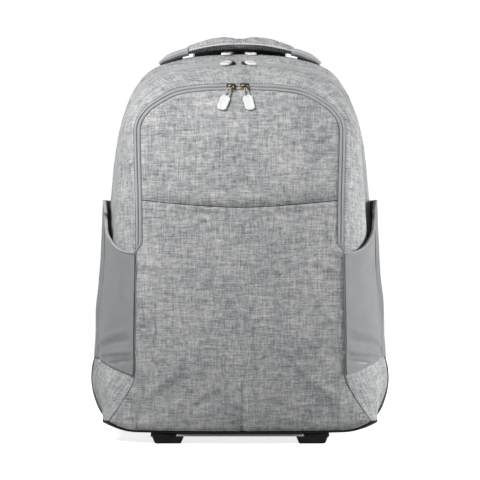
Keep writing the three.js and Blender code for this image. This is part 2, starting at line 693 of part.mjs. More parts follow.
const trayUnderZ = BASE_Z - TRAY_GAP - BASE_WALL;
const railTop = trayUnderZ - SEAM;
const railShape = new THREE.Shape();
railShape.moveTo(-RAIL_HALF_WIDTH, railTop - RAIL_HEIGHT);
railShape.lineTo(RAIL_HALF_WIDTH, railTop - RAIL_HEIGHT);
railShape.lineTo(RAIL_HALF_WIDTH, railTop);
railShape.lineTo(-RAIL_HALF_WIDTH, railTop);
addPiece('base_rail', extrudeFront(railShape, RAIL_Y, RAIL_Y + RAIL_DEPTH, EDGE_BEVEL), 'rail');

const footShape = new THREE.Shape();
footShape.moveTo(FOOT_INNER_X + FOOT_SLOPE, 0);
footShape.lineTo(FOOT_OUTER_X - FOOT_SLOPE, 0);
footShape.lineTo(FOOT_OUTER_X, railTop);
footShape.lineTo(FOOT_INNER_X, railTop);
const railRoom = box(
  -RAIL_HALF_WIDTH - SEAM, RAIL_HALF_WIDTH + SEAM, RAIL_Y - SEAM, RAIL_Y + RAIL_DEPTH + SEAM,
  railTop - RAIL_HEIGHT - SEAM, railTop + 1,
);
const foot = cut(extrudeFront(footShape, FOOT_Y, FOOT_Y + FOOT_DEPTH), railRoom);
addPiece('foot_left', mirrorX(foot), 'black');
addPiece('foot_right', foot, 'black');

// Front panels, filling the space inside the front tape

function blend(share, low, high) {
  return low.clone().lerp(high, share);
}

// A patch between four edges, in the front view, laid onto the front face
function frontPatch(bottom, top, leftRows) {
  const outer = [];
  const inner = [];
  const ups = leftRows.map((row, i) => i / (leftRows.length - 1));
  topSides.forEach((side) => {
    const share = (side + 1) / 2;
    const line = ups.map((up, i) => {
      const leftPoint = panelEdge(leftRows[i]);
      if (i === 0) leftPoint.copy(bottom(-1));
      if (i === ups.length - 1) leftPoint.copy(top(-1));
      const rightPoint = new THREE.Vector2(-leftPoint.x, leftPoint.y);
      const ruled = blend(up, bottom(side), top(side)).add(blend(share, leftPoint, rightPoint));
      const low = blend(share, bottom(-1), bottom(1));
      const high = blend(share, top(-1), top(1));
      return ruled.sub(blend(up, low, high));
    });
    outer.push(line.map(onFront));
    inner.push(line.map((point) => onFront(point).add(new THREE.Vector3(0, SKIN_WALL, 0))));
  });
  return sheetGeometry(outer, inner);
}

function panelEdge(row) {
  return archInset(frontArch, row, tapeWidth(row) + SEAM);
}

function slashCurve(side, offset) {
  const end = panelEdge(SLASH_ROW);
  const dip = SLASH_DIP * (1 - Math.abs(side) ** SLASH_POWER);
  return new THREE.Vector2(-end.x * side, end.y - dip + offset);
}

function bottomCurve(side) {
  const edge = panelEdge(ROW_GAP);
  const endLift = edge.y - basePoint(1, 0).z - SEAM;
  const lift = endLift * Math.abs(side) ** RISE_POWER;
  return new THREE.Vector2(-edge.x * side, basePoint(side, 0).z + SEAM + lift);
}

const between = (low, high) => tapeRows.filter((row) => row >= low && row <= high);
const topRows = between(TOP_CORNER_ROW, LAST_ROW - TOP_CORNER_ROW);
const topSides = topRows.map((row) => (row - CREST_ROW) / (CREST_ROW - TOP_CORNER_ROW));
const lowerPanel = frontPatch(bottomCurve, (side) => slashCurve(side, -SEAM / 2), between(0, SLASH_ROW));
const topCurve = (side) => panelEdge(CREST_ROW + side * (CREST_ROW - TOP_CORNER_ROW));
const overSlash = (side) => slashCurve(side, SEAM / 2);
const upperPanel = frontPatch(overSlash, topCurve, between(SLASH_ROW, TOP_CORNER_ROW));
addPiece('front_panel_lower', lowerPanel, 'melange');
addPiece('front_panel_upper', upperPanel, 'melange');

// Padded back panel, behind the skin's last outline
const backShape = new THREE.Shape();
stripRows(0, LAST_ROW).forEach((row, i) => {
  const point = skin(row, LAST_STATION);
  if (i === 0) backShape.moveTo(point.x, point.z);
  else backShape.lineTo(point.x, point.z);
});
[...baseShares].reverse().slice(1, -1).forEach((share) => {
  const point = basePoint(share, 1);
  backShape.lineTo(point.x, point.z);
});
const backPanel = extrudeFront(backShape, BACK_Y + SEAM, BACK_Y + SEAM + BACK_PAD);
addPiece('back_panel', cut(backPanel, ...bothRooms), 'mesh');

// Stretch pockets: closed along the bottom, front and back, open along the mouth

function pocketLine(w, t, layer) {
  const mouth = POCKET_FRONT_ROW + POCKET_RISE_ROWS * smooth((w - 1) / POCKET_RISE_SPAN);
  const low = CORNER_ROW + ROW_GAP;
  const row = low + (mouth - low) * t;
  const across = Math.max(Math.sin((Math.PI * (w - 1)) / (POCKET_BACK - 1)), 0) ** POCKET_CROWN_POWER;
  const up = smooth(t / POCKET_FOOT_SHARE);
  const puff = POCKET_PUFF + POCKET_GAPE * smooth((t - POCKET_GAPE_SHARE) / (1 - POCKET_GAPE_SHARE));
  const stand = 2 * SEAM + puff * across * up + (layer === 'outer' ? POCKET_WALL : 0);
  return skin(row, w).addScaledVector(skinOutward(row, w), stand);
}

const pocketAcross = range(1, POCKET_BACK, 11);
const pocketGrid = (layer) => range(0, 1, 8).map((t) => pocketAcross.map((w) => pocketLine(w, t, layer)));
const pocket = sheetGeometry(pocketGrid('outer'), pocketGrid('inner'));
addPiece('side_pocket_left', pocket, 'lycra');
addPiece('side_pocket_right', mirrorX(pocket), 'lycra');

// Trolley handle: three nested tubes on each side, a collar, a grip and its button

const tubeStage = (stage) => ({
  halfX: TUBE_WIDTH / 2 - stage * (TUBE_WALL + TUBE_GAP),
  halfY: TUBE_DEPTH / 2 - stage * (TUBE_WALL + TUBE_GAP),
});

function tubeGeometry(stage, z0, z1) {
  const { halfX, halfY } = tubeStage(stage);
  const shape = roundedRect(halfX, halfY, TUBE_CORNER);
  shape.holes.push(roundedRect(halfX - TUBE_WALL, halfY - TUBE_WALL, TUBE_CORNER - TUBE_WALL));
  return extrudeUp(shape, z0, z1, 0, 1);
}

const collarUnder = COLLAR_TOP - COLLAR_HEIGHT;
const tubeFoot = BASE_Z + SEAM;
const gripUnder = COLLAR_TOP + SEAM;
const gripTop = gripUnder + GRIP_HEIGHT;
const stageLength = STAGE_TRAVEL + STAGE_OVERLAP;
const STAGES = [
  { name: 'outer', from: tubeFoot, to: collarUnder - SEAM },
  { name: 'middle', from: COLLAR_TOP - stageLength, to: COLLAR_TOP - SEAM },
  { name: 'inner', from: COLLAR_TOP - stageLength + SEAM, to: gripUnder + GRIP_SOCKET },
];
[['left', -1], ['right', 1]].forEach(([side, sign]) => {
  STAGES.forEach((stage, i) => {
    const tube = addPiece(`trolley_${stage.name}_${side}`, tubeGeometry(i, stage.from, stage.to), 'metal');
    tube.position.set(sign * TROLLEY_X, TROLLEY_Y, 0);
  });
});

const middle = tubeStage(1);
const collarShape = roundedRect(COLLAR_HALF_WIDTH, COLLAR_DEPTH / 2, COLLAR_CORNER);
[-1, 1].forEach((sign) => {
  const hole = roundedRect(middle.halfX + TUBE_GAP, middle.halfY + TUBE_GAP, TUBE_CORNER);
  const points = hole.getPoints(1).map((point) => point.add(new THREE.Vector2(sign * TROLLEY_X, 0)));
  collarShape.holes.push(new THREE.Path(points));
});
const collar = addPiece('trolley_collar', extrudeUp(collarShape, collarUnder, COLLAR_TOP), 'black');
collar.position.set(0, TROLLEY_Y, 0);

const inner = tubeStage(2);
const gripShape = roundedRect(GRIP_HALF_WIDTH, GRIP_DEPTH / 2, GRIP_CORNER);
const gripBlank = extrudeUp(gripShape, gripUnder, gripTop, GRIP_BEVEL);
const socket = (sign) => box(
  sign * TROLLEY_X - inner.halfX - SEAM / 2, sign * TROLLEY_X + inner.halfX + SEAM / 2,
  -inner.halfY - SEAM / 2, inner.halfY + SEAM / 2, gripUnder - 1, gripUnder + GRIP_SOCKET + SEAM,
);
const buttonRoomHalf = BUTTON_HALF_WIDTH + BUTTON_GAP;
const buttonFloor = gripTop + BUTTON_PROUD - BUTTON_HEIGHT - BUTTON_TRAVEL - BUTTON_GAP;
const buttonRoom = box(
  -buttonRoomHalf, buttonRoomHalf, -BUTTON_DEPTH / 2 - BUTTON_GAP, BUTTON_DEPTH / 2 + BUTTON_GAP,
  buttonFloor, gripTop + 1,
);
const grip = addPiece('trolley_grip', cut(gripBlank, socket(-1), socket(1), buttonRoom), 'black');
grip.position.set(0, TROLLEY_Y, 0);
const buttonTop = gripTop + BUTTON_PROUD;
const buttonShape = roundedRect(BUTTON_HALF_WIDTH, BUTTON_DEPTH / 2, BUTTON_CORNER);
const buttonSolid = extrudeUp(buttonShape, buttonTop - BUTTON_HEIGHT, buttonTop, EDGE_BEVEL, 1);
const button = addPiece('trolley_button', buttonSolid, 'guard');
button.position.set(0, TROLLEY_Y, 0);

// Carry handle: a padded roll, thicker in the middle, and a webbing strap at each end

function carryPoint(share) {
  const drop = CARRY_END_DROP * Math.abs(share) ** CARRY_DROP_POWER;
  return new THREE.Vector3(CARRY_HALF_LENGTH * share, CARRY_Y, CARRY_MID_Z - drop);
}

const CARRY_SIDES = 12;
const carryRings = [-1, -0.94, -0.8, -0.6, -0.4, -0.2, 0, 0.2, 0.4, 0.6, 0.8, 0.94, 1].map((share) => {
  const centre = carryPoint(share);
  const taper = 1 - (1 - CARRY_END_SHARE) * Math.abs(share) ** CARRY_TAPER_POWER;
  return range(0, CARRY_SIDES - 1, CARRY_SIDES - 1).map((i) => {
    const angle = (i / CARRY_SIDES) * 2 * Math.PI;
    const depth = Math.cos(angle) * CARRY_HALF_DEPTH * taper;
    const height = Math.sin(angle) * CARRY_HALF_HEIGHT * taper;
    return new THREE.Vector3(centre.x, centre.y + depth, centre.z + height);
  });
});
addPiece('carry_grip', ringGeometry(carryRings), 'melange');

// A flat band along a curve. Its width lies along one direction, and its wall changes along it.
function bandGeometry(points, widthAlong, width, wallAt) {
  const outer = [];
  const inner = [];
  points.forEach((point, i) => {
    const ahead = points[Math.min(i + 1, points.length - 1)];
    const behind = points[Math.max(i - 1, 0)];
    const along = ahead.clone().sub(behind).normalize();
    const through = new THREE.Vector3().crossVectors(along, widthAlong(along)).normalize();
    const across = widthAlong(along);
    const wall = wallAt(i / (points.length - 1));
    const edge = (side, deep) => point.clone()
      .addScaledVector(across, (side * width) / 2).addScaledVector(through, (deep * wall) / 2);
    outer.push([edge(-1, 1), edge(1, 1)]);
    inner.push([edge(-1, -1), edge(1, -1)]);
  });
  return sheetGeometry(outer, inner);
}

const carryEnd = carryPoint(1);
const strapOut = skinOutward(LAST_ROW - CARRY_FOOT_ROW, CARRY_FOOT_W);
const strapFoot = skin(LAST_ROW - CARRY_FOOT_ROW, CARRY_FOOT_W)
  .addScaledVector(strapOut, CARRY_STRAP_FOOT_WALL / 2 + 2 * SEAM);
strapFoot.y = CARRY_Y;
const strapHead = new THREE.Vector3(carryEnd.x + 4 * SEAM, CARRY_Y, carryEnd.z);
const strapBow = new THREE.Vector3(CARRY_STRAP_BOW, 0, CARRY_STRAP_BOW);
const carryStrapCurve = new THREE.QuadraticBezierCurve3(
  strapHead, strapHead.clone().add(strapFoot).divideScalar(2).add(strapBow), strapFoot,
);
const alongY = () => new THREE.Vector3(0, 1, 0);
const carryWall = (t) => THREE.MathUtils.lerp(CARRY_STRAP_WALL, CARRY_STRAP_FOOT_WALL, smooth(2 * t - 1));
const carryStrap = bandGeometry(carryStrapCurve.getPoints(8), alongY, CARRY_STRAP_WIDTH, carryWall);
addPiece('carry_strap_right', carryStrap, 'webbing');
addPiece('carry_strap_left', mirrorX(carryStrap), 'webbing');

// Shoulder straps: padded, curved bands on the back, with webbing and a buckle below

const backFace = BACK_Y + SEAM + BACK_PAD;
const strapPoint = (row) => new THREE.Vector3(
  row.out * BODY_HALF_WIDTH, backFace + row.off * STRAP_OFF + STRAP_WALL / 2, row.high * BODY_CREST,
);
const strapCurve = new THREE.CatmullRomCurve3(STRAP_ROWS.map(strapPoint));
const STRAP_STEPS = 12;
const STRAP_SECTION = [[-1, 0], [-0.86, 0.7], [-0.5, 1], [0.5, 1], [0.86, 0.7], [1, 0],
  [0.86, -0.7], [0.5, -1], [-0.5, -1], [-0.86, -0.7]];
const widthAt = (t) => {
  const at = t * (STRAP_ROWS.length - 1);
  const i = Math.min(Math.floor(at), STRAP_ROWS.length - 2);
  return STRAP_WIDTH * THREE.MathUtils.lerp(STRAP_ROWS[i].wide, STRAP_ROWS[i + 1].wide, at - i);
};
const strapRings = range(0, 1, STRAP_STEPS).map((t) => {
  const centre = strapCurve.getPoint(t);
  const along = strapCurve.getTangent(t);
  const across = new THREE.Vector3(-along.z, 0, along.x).normalize();
  return STRAP_SECTION.map(([side, deep]) => centre.clone()
    .addScaledVector(across, (side * widthAt(t)) / 2)
    .add(new THREE.Vector3(0, (deep * STRAP_WALL) / 2, 0)));
});
const shoulderStrap = ringGeometry(strapRings);
addPiece('shoulder_strap_right', shoulderStrap, 'mesh');
addPiece('shoulder_strap_left', mirrorX(shoulderStrap), 'mesh');

const strapEnd = strapPoint(STRAP_ROWS[STRAP_ROWS.length - 1]);
const webbingY = backFace + STRAP_BACK_GAP + WEBBING_WALL / 2;
const toAnchor = new THREE.Vector2(BODY_HALF_WIDTH - ANCHOR_INSET - strapEnd.x, ANCHOR_HIGH - strapEnd.z);
const anchorRun = toAnchor.length();
toAnchor.normalize();
const buckleMid = new THREE.Vector2(strapEnd.x, strapEnd.z)
  .addScaledVector(toAnchor, BUCKLE_HEIGHT / 2 + SEAM + BUCKLE_DROP);
const buckleShape = roundedRect(BUCKLE_WIDTH / 2, BUCKLE_HEIGHT / 2, BUCKLE_CORNER);
const slotHalf = (BUCKLE_HEIGHT - 3 * BUCKLE_BAR) / 4;
[-1, 1].forEach((sign) => {
  const hole = roundedRect(WEBBING_WIDTH / 2 + SLOT_ROOM, slotHalf, SLOT_ROOM);
  const lift = new THREE.Vector2(0, sign * (BUCKLE_BAR / 2 + slotHalf));
  buckleShape.holes.push(new THREE.Path(hole.getPoints(1).map((point) => point.add(lift))));
});
const buckle = extrudeFront(buckleShape, -BUCKLE_WALL / 2, BUCKLE_WALL / 2, 0, 2);
const buckleTurn = Math.atan2(toAnchor.x, -toAnchor.y);
buckle.rotateY(-buckleTurn).translate(buckleMid.x, backFace + STRAP_BACK_GAP + BUCKLE_WALL / 2, buckleMid.y);
addPiece('strap_buckle_right', buckle, 'black');
addPiece('strap_buckle_left', mirrorX(buckle), 'black');

const webbingFrom = BUCKLE_HEIGHT + 2 * SEAM + BUCKLE_DROP;
const webbingPoints = range(webbingFrom, anchorRun, 4).map((run) => new THREE.Vector3(
  strapEnd.x + toAnchor.x * run, webbingY, strapEnd.z + toAnchor.y * run,
));
const acrossBack = (along) => new THREE.Vector3(-along.z, 0, along.x);
const webbing = bandGeometry(webbingPoints, acrossBack, WEBBING_WIDTH, () => WEBBING_WALL);
addPiece('strap_webbing_right', webbing, 'webbing');
addPiece('strap_webbing_left', mirrorX(webbing), 'webbing');

// Zip sliders and pulls

function rowAtX(w, x) {
  let [low, high] = [CREST_ROW - 3, CREST_ROW + 3];
  for (let i = 0; i < 24; i += 1) {
    const mid = (low + high) / 2;
    if (skin(mid, w).x < x) low = mid;
    else high = mid;
  }
  return (low + high) / 2;
}

const tabShape = roundedRect(TAB_WIDTH / 2, TAB_LENGTH / 2, TAB_CORNER);
const tabBlank = extrudeUp(tabShape, 0, TAB_WALL, EDGE_BEVEL, 1);
const sliderShape = roundedRect(SLIDER_LENGTH / 2, SLIDER_WIDTH / 2, SLIDER_CORNER);
const sliderBlank = extrudeUp(sliderShape, 0, SLIDER_HEIGHT, EDGE_BEVEL, 1);

const LOOP_SIDES = 5;
const loopSection = range(0, LOOP_SIDES - 1, LOOP_SIDES - 1).map((i) => {
  const angle = (i / LOOP_SIDES) * 2 * Math.PI;
  return new THREE.Vector2(Math.cos(angle), Math.sin(angle)).multiplyScalar(LOOP_RADIUS);
});

PULLS.forEach((pull) => {
  const sliderX = pull.at * SLIDER_LENGTH;
  const hang = pull.hang * TAB_LENGTH;
  const row = rowAtX(pull.w, sliderX);
  const seat = skin(row, pull.w);
  const seatOut = skinOutward(row, pull.w);
  const tangent = skin(row + 0.1, pull.w).sub(skin(row - 0.1, pull.w)).normalize();
  const sliderFrame = new THREE.Matrix4().makeBasis(
    tangent, new THREE.Vector3().crossVectors(seatOut, tangent), seatOut,
  );
  sliderFrame.setPosition(seat.clone().addScaledVector(seatOut, SEAM));
  addPiece(`${pull.zip}_slider_${pull.side}`, sliderBlank.clone().applyMatrix4(sliderFrame), 'gunmetal');

  const sideways = (distance) => sliderX + (pull.swing * TAB_WIDTH * distance) / hang;
  const hangs = (distance) => {
    if (pull.zip === 'front') {
      const [x, z] = [sideways(distance), seat.z - distance];
      return new THREE.Vector3(x, frontY(x, z), z);
    }
    const reach = skin(row, pull.w - 0.5).distanceTo(skin(row, pull.w - 1.5));
    const half = skin(row, pull.w).distanceTo(skin(row, pull.w - 0.5));
    const w = pull.w - 0.5 - (distance - half) / reach;
    return skin(rowAtX(w, sideways(distance)), w);
  };
  const slope = hangs(hang - TAB_LENGTH / 2).sub(hangs(hang + TAB_LENGTH / 4)).normalize();
  const out = new THREE.Vector3(1, 0, 0).cross(slope).normalize();
  const outward = out.dot(seatOut) < 0 ? out.negate() : out;
  const raise = pull.raise * TAB_RAISE;
  const upSlope = slope.multiplyScalar(TAB_LENGTH).addScaledVector(outward, raise).normalize();
  const across = new THREE.Vector3().crossVectors(upSlope, outward).normalize();
  const normal = new THREE.Vector3().crossVectors(across, upSlope).normalize();
  const frame = new THREE.Matrix4().makeBasis(across, upSlope, normal);
  frame.setPosition(hangs(hang).addScaledVector(normal, PULL_LIFT + raise / 2));
  const top = new THREE.Vector3(0, TAB_LENGTH / 2, TAB_WALL / 2);
  const toSeat = seat.clone().addScaledVector(seatOut, SLIDER_HEIGHT + 2 * SEAM + LOOP_RADIUS)
    .addScaledVector(upSlope, -SLIDER_WIDTH / 4).applyMatrix4(frame.clone().invert());
  const loopCurve = new THREE.CatmullRomCurve3([
    new THREE.Vector3(-LOOP_SPREAD / 2, top.y - LOOP_ROOT, top.z),
    new THREE.Vector3(-LOOP_SPREAD, top.y + LOOP_REACH, top.z + LOOP_RISE),
    toSeat.clone().add(new THREE.Vector3(-LOOP_TIP, -LOOP_TIP, 0)),
    toSeat,
    toSeat.clone().add(new THREE.Vector3(LOOP_TIP, -LOOP_TIP, 0)),
    new THREE.Vector3(LOOP_SPREAD, top.y + LOOP_REACH, top.z + LOOP_RISE),
    new THREE.Vector3(LOOP_SPREAD / 2, top.y - LOOP_ROOT, top.z),
  ]);
  const section = new THREE.Shape(loopSection);
  const loop = new THREE.ExtrudeGeometry(section, { steps: 8, extrudePath: loopCurve });
  const whole = toGeometry(toSolid(tabBlank).add(toSolid(loop)));
  addPiece(`${pull.zip}_pull_${pull.side}`, whole.applyMatrix4(frame), 'tab');
});

export default group;
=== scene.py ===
import math

import bpy
import numpy as np
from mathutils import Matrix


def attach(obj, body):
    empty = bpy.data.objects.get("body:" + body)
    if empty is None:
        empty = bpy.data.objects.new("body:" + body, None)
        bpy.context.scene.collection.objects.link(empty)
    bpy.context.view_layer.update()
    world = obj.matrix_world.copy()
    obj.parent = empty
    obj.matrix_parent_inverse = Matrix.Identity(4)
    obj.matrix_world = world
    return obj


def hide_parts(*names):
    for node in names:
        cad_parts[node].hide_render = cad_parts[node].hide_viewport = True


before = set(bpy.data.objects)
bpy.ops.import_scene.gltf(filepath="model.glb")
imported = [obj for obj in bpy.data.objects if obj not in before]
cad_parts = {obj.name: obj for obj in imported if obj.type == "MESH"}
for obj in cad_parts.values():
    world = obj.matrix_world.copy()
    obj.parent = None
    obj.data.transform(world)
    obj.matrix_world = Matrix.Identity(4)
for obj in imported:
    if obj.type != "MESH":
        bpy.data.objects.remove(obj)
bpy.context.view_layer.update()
MM = 0.001
SIGN = {"left": -1, "right": 1}

# Body sizes, as in the frame
BODY_HALF_WIDTH = 175.5
BODY_CREST = 449.5
FRONT_HALF_WIDTH = 123.0
FRONT_CREST = 419.0
FRONT_REACH = 106.0
CORNER_DROP = 26.0
FALL_POWER = 2.4
FALL_END_SHARE = 1.05
MAIN_Y = 2.0
REAR_Y = 53.0
BACK_Y = 80.0
REAR_RISE = 14.0
MIDDLE_RISE = 0.93
BACK_RISE = 0.8
RISE_POWER = 8
REAR_NARROW = 0.985
BACK_INSET = 5.0
BASE_Z = 15.5
SEAM = 0.3
FRONT_TAPE = 8.0
SEAM_BINDING = 1.5
TAPE_END_ROW = 4.15
TAPE_END_BLEND = 0.12
MAIN_TAPE_FACE = 6.0
MAIN_TAPE_DEEP = 13.0
REAR_TAPE = 9.0
SLASH_ROW = 5.0
SLASH_DIP = 8.5
SLASH_POWER = 1.6
CORNER_ROW = 2.0
BASE_LIFT_START = 0.78
BASE_LIFT_POWER = 2
TOP_CORNER_ROW = 7.7
STRAIGHT_ROW = 7
CLOTH = 1.6

# Half of the outline seen from the front, base to crest, as shares of half width and crest
OUTLINE = {
    "front_wide": [1.252, 1.085, 1.0, 0.992, 0.98, 0.984, 1.0, 0.995, 0.905, 0.76, 0.6, 0.35, 0.0],
    "front_high": [0.062, 0.134, 0.191, 0.315, 0.506, 0.673, 0.82, 0.886, 0.931, 0.963, 0.986, 0.997, 1.0],
    "body_wide": [0.929, 1.0, 0.986, 0.95, 0.912, 0.883, 0.855, 0.826, 0.779, 0.71, 0.59, 0.35, 0.0],
    "body_high": [0.059, 0.138, 0.214, 0.311, 0.456, 0.605, 0.73, 0.805, 0.868, 0.923, 0.969, 0.993, 1.0],
}
CREST_ROW = len(OUTLINE["front_wide"]) - 1
LAST_ROW = 2 * CREST_ROW

# The front face from the side: how far it reaches forward, and how far its edges fall back
PROFILE = {
    "high": [0.0, 0.07, 0.143, 0.203, 0.31, 0.525, 0.692, 0.835, 0.93, 1.0],
    "reach": [0.88, 0.935, 0.972, 0.99, 1.0, 0.992, 0.955, 0.86, 0.745, 0.62],
    "fall": [1.0, 0.92, 0.65, 0.42, 0.29, 0.27, 0.27, 0.23, 0.19, 0.15],
}


# Camera, lights and world

CAMERA_AWAY = 2.4
CAMERA_HIGH = 0.236
LENS = 150.0


def add_object(name, data):
    made = bpy.data.objects.new(name, data)
    bpy.context.scene.collection.objects.link(made)
    return made


def add_camera():
    data = bpy.data.cameras.new("camera")
    data.lens = LENS
    data.sensor_width = 36.0
    camera = add_object("camera", data)
    camera.location = (0.0, -CAMERA_AWAY, CAMERA_HIGH)
    camera.rotation_euler = (math.radians(90), 0.0, 0.0)
    bpy.context.scene.camera = camera


def add_light(name, place, aim, size, power):
    data = bpy.data.lights.new(name, "AREA")
    data.shape = "DISK"
    data.size = size
    data.energy = power
    light = add_object(name, data)
    light.location = place
    towards = np.array(aim) - np.array(place)
    flat = math.hypot(towards[0], towards[1])
    turn = math.atan2(towards[1], towards[0]) - math.radians(90)
    light.rotation_euler = (math.atan2(flat, -towards[2]), 0.0, turn)


add_camera()
add_light("key", (-0.58, -0.72, 0.9), (0, 0, 0.28), 0.4, 15)
add_light("right", (1.2, -0.12, 0.4), (0, 0, 0.24), 0.5, 17)
add_light("left", (-1.3, -0.1, 0.5), (0, 0, 0.24), 0.5, 1.5)
add_light("behind", (0.4, 1.5, 0.5), (0, 0, 0.25), 0.9, 6)

world = bpy.data.worlds.new("studio")
world.use_nodes = True
world.node_tree.nodes["Background"].inputs["Color"].default_value = (0.98, 0.99, 1.0, 1)
world.node_tree.nodes["Background"].inputs["Strength"].default_value = 0.22
bpy.context.scene.world = world
bpy.context.scene.view_settings.view_transform = "Standard"


# Materials

def linear(red, green, blue):
    def channel(value):
        share = value / 255
        return share / 12.92 if share <= 0.04045 else ((share + 0.055) / 1.055) ** 2.4
    return (channel(red), channel(green), channel(blue), 1.0)


def new_material(name, roughness, **sockets):
    material = bpy.data.materials.new(name)
    material.use_nodes = True
    shader = material.node_tree.nodes["Principled BSDF"]
    shader.inputs["Roughness"].default_value = roughness
    for socket, value in sockets.items():
        shader.inputs[socket.replace("_", " ")].default_value = value
    return material, material.node_tree, shader


def node(tree, kind, inputs, **settings):
    made = tree.nodes.new("ShaderNode" + kind)
    for key, value in settings.items():
        setattr(made, key, value)
    for socket, value in inputs.items():
        if isinstance(value, bpy.types.NodeSocket):
            tree.links.new(value, made.inputs[socket])
        else:
            made.inputs[socket].default_value = value
    return made


def maths(tree, operation, first, second):
    return node(tree, "Math", {0: first, 1: second}, operation=operation).outputs[0]


def noise(tree, at, stretch, detail=2.0, rough=0.55):
    spread = node(tree, "Mapping", {"Vector": at, "Scale": stretch}).outputs[0]
    made = node(tree, "TexNoise", {"Vector": spread, "Scale": 1.0, "Detail": detail, "Roughness": rough})
    return made.outputs[0]


def remap(tree, value, low, high, to_low=0.0, to_high=1.0):
    inputs = {"Value": value, "From Min": low, "From Max": high, "To Min": to_low, "To Max": to_high}
    return node(tree, "MapRange", inputs).outputs[0]


def ramp(tree, value, stops):
    made = node(tree, "ValToRGB", {"Fac": value})
    elements = made.color_ramp.elements
    while len(elements) < len(stops):
        elements.new(0.5)
    for element, (place, colour) in zip(elements, stops):
        element.position = place
        element.color = colour
    return made.outputs[0]


def mix(tree, share, first, second):
    return node(tree, "Mix", {0: share, 6: first, 7: second}, data_type="RGBA").outputs[2]


def bump(tree, shader, height, distance, strength=1.0):
    made = node(tree, "Bump", {"Height": height, "Distance": distance, "Strength": strength})
    tree.links.new(made.outputs[0], shader.inputs["Normal"])


def weave_place(tree):
    return node(tree, "Attribute", {}, attribute_name="weave").outputs["Vector"]


def object_place(tree):
    return node(tree, "TexCoord", {}).outputs["Object"]


def weighted(tree, parts):
    """Several patterns around a half, added by weight around a half."""
    total = 0.5
    for value, weight in parts:
        swing = maths(tree, "MULTIPLY", maths(tree, "SUBTRACT", value, 0.5), weight)
        total = maths(tree, "ADD", swing, total)
    return total


def threads(tree, at, along, across, pitch, length, seed):
    """Threads side by side, each with its own tone, which changes along it."""
    parts = node(tree, "SeparateXYZ", {0: at}).outputs
    row = maths(tree, "FLOOR", maths(tree, "DIVIDE", parts[across], pitch * MM), 0.0)
    own = node(tree, "TexWhiteNoise", {"W": maths(tree, "ADD", row, seed)}, noise_dimensions="1D").outputs[0]
    run = maths(tree, "DIVIDE", parts[along], length * MM)
    start = maths(tree, "ADD", run, maths(tree, "MULTIPLY", own, 57.0))
    spot = node(tree, "CombineXYZ", {0: start, 1: maths(tree, "MULTIPLY", own, 91.0), 2: seed})
    inputs = {"Vector": spot.outputs[0], "Scale": 1.0, "Detail": 2.0, "Roughness": 0.6}
    return node(tree, "TexNoise", inputs).outputs[0]


def melange():
    """Grey cloth of uneven yarn: darker and lighter threads both ways, specks, patches and clouds."""
    material, tree, shader = new_material("melange", 0.93, Sheen_Weight=0.06, Sheen_Roughness=0.55)
    at = weave_place(tree)
    coarse_across = threads(tree, at, "X", "Y", 1.3, 16.0, 3.5)
    coarse_upward = threads(tree, at, "Y", "X", 1.3, 16.0, 8.5)
    fine_across = threads(tree, at, "X", "Y", 0.62, 5.0, 21.5)
    fine_upward = threads(tree, at, "Y", "X", 0.62, 5.0, 33.5)
    patches = noise(tree, at, (95, 130, 1), 3.0)
    clouds = noise(tree, at, (17, 17, 1), 2.0)
    tone = weighted(tree, [
        (coarse_across, 0.85), (coarse_upward, 0.7), (fine_across, 0.75), (fine_upward, 0.75), (patches, 0.6),
        (clouds, 0.45),
    ])
    colour = ramp(tree, tone, [
        (0.0, linear(86, 88, 91)), (0.3, linear(126, 128, 130)), (0.5, linear(151, 152, 153)),
        (0.72, linear(174, 174, 173)), (1.0, linear(202, 201, 198)),
    ])
    tree.links.new(colour, shader.inputs["Base Color"])
    relief = weighted(tree, [(fine_across, 1.0), (fine_upward, 1.0), (coarse_across, 0.6)])
    bump(tree, shader, relief, 0.0004, 0.6)
    return material


def plain_cloth(name, dark, light, ribs, depth, roughness=0.88, slope=0.0, sheen=0.1):
    """Plain cloth: fine ribs along the piece, with a little change of tone."""
    material, tree, shader = new_material(name, roughness, Sheen_Weight=sheen, Sheen_Roughness=0.5)
    at = weave_place(tree)
    parts = node(tree, "SeparateXYZ", {0: at}).outputs
    slant = maths(tree, "ADD", parts["Y"], maths(tree, "MULTIPLY", parts["X"], slope))
    wave = maths(tree, "SINE", maths(tree, "MULTIPLY", slant, 2 * math.pi / (ribs * MM)), 0.0)
    soft = noise(tree, at, (30, 30, 30), 3.0)
    speckle = noise(tree, at, (1300, 1300, 1300), 1.0)
    tone = maths(tree, "ADD", maths(tree, "MULTIPLY", soft, 0.6), maths(tree, "MULTIPLY", speckle, 0.4))
    colour = ramp(tree, remap(tree, tone, 0.36, 0.64), [(0.0, dark), (1.0, light)])
    tree.links.new(colour, shader.inputs["Base Color"])
    bump(tree, shader, maths(tree, "ADD", maths(tree, "MULTIPLY", wave, 0.5), speckle), depth * MM, 0.7)
    return material


def air_mesh():
    """Spacer mesh: a staggered net of grey yarn, its small holes near-black as painted shade inside them."""
    material, tree, shader = new_material("air_mesh", 0.95, Sheen_Weight=0.1)
    at = weave_place(tree)
    cells = node(tree, "TexVoronoi", {"Vector": at, "Scale": 380.0, "Randomness": 0.25})
    hole = remap(tree, cells.outputs["Distance"], 0.22, 0.5)
    soft = remap(tree, noise(tree, at, (22, 22, 22), 2.0), 0.3, 0.7)
    yarn = mix(tree, soft, linear(112, 114, 117), linear(132, 134, 137))
    # painted shade: the holes get a near-black colour for the shade inside them
    tree.links.new(mix(tree, hole, linear(44, 45, 47), yarn), shader.inputs["Base Color"])
    bump(tree, shader, hole, 0.0009, 0.9)
    return material


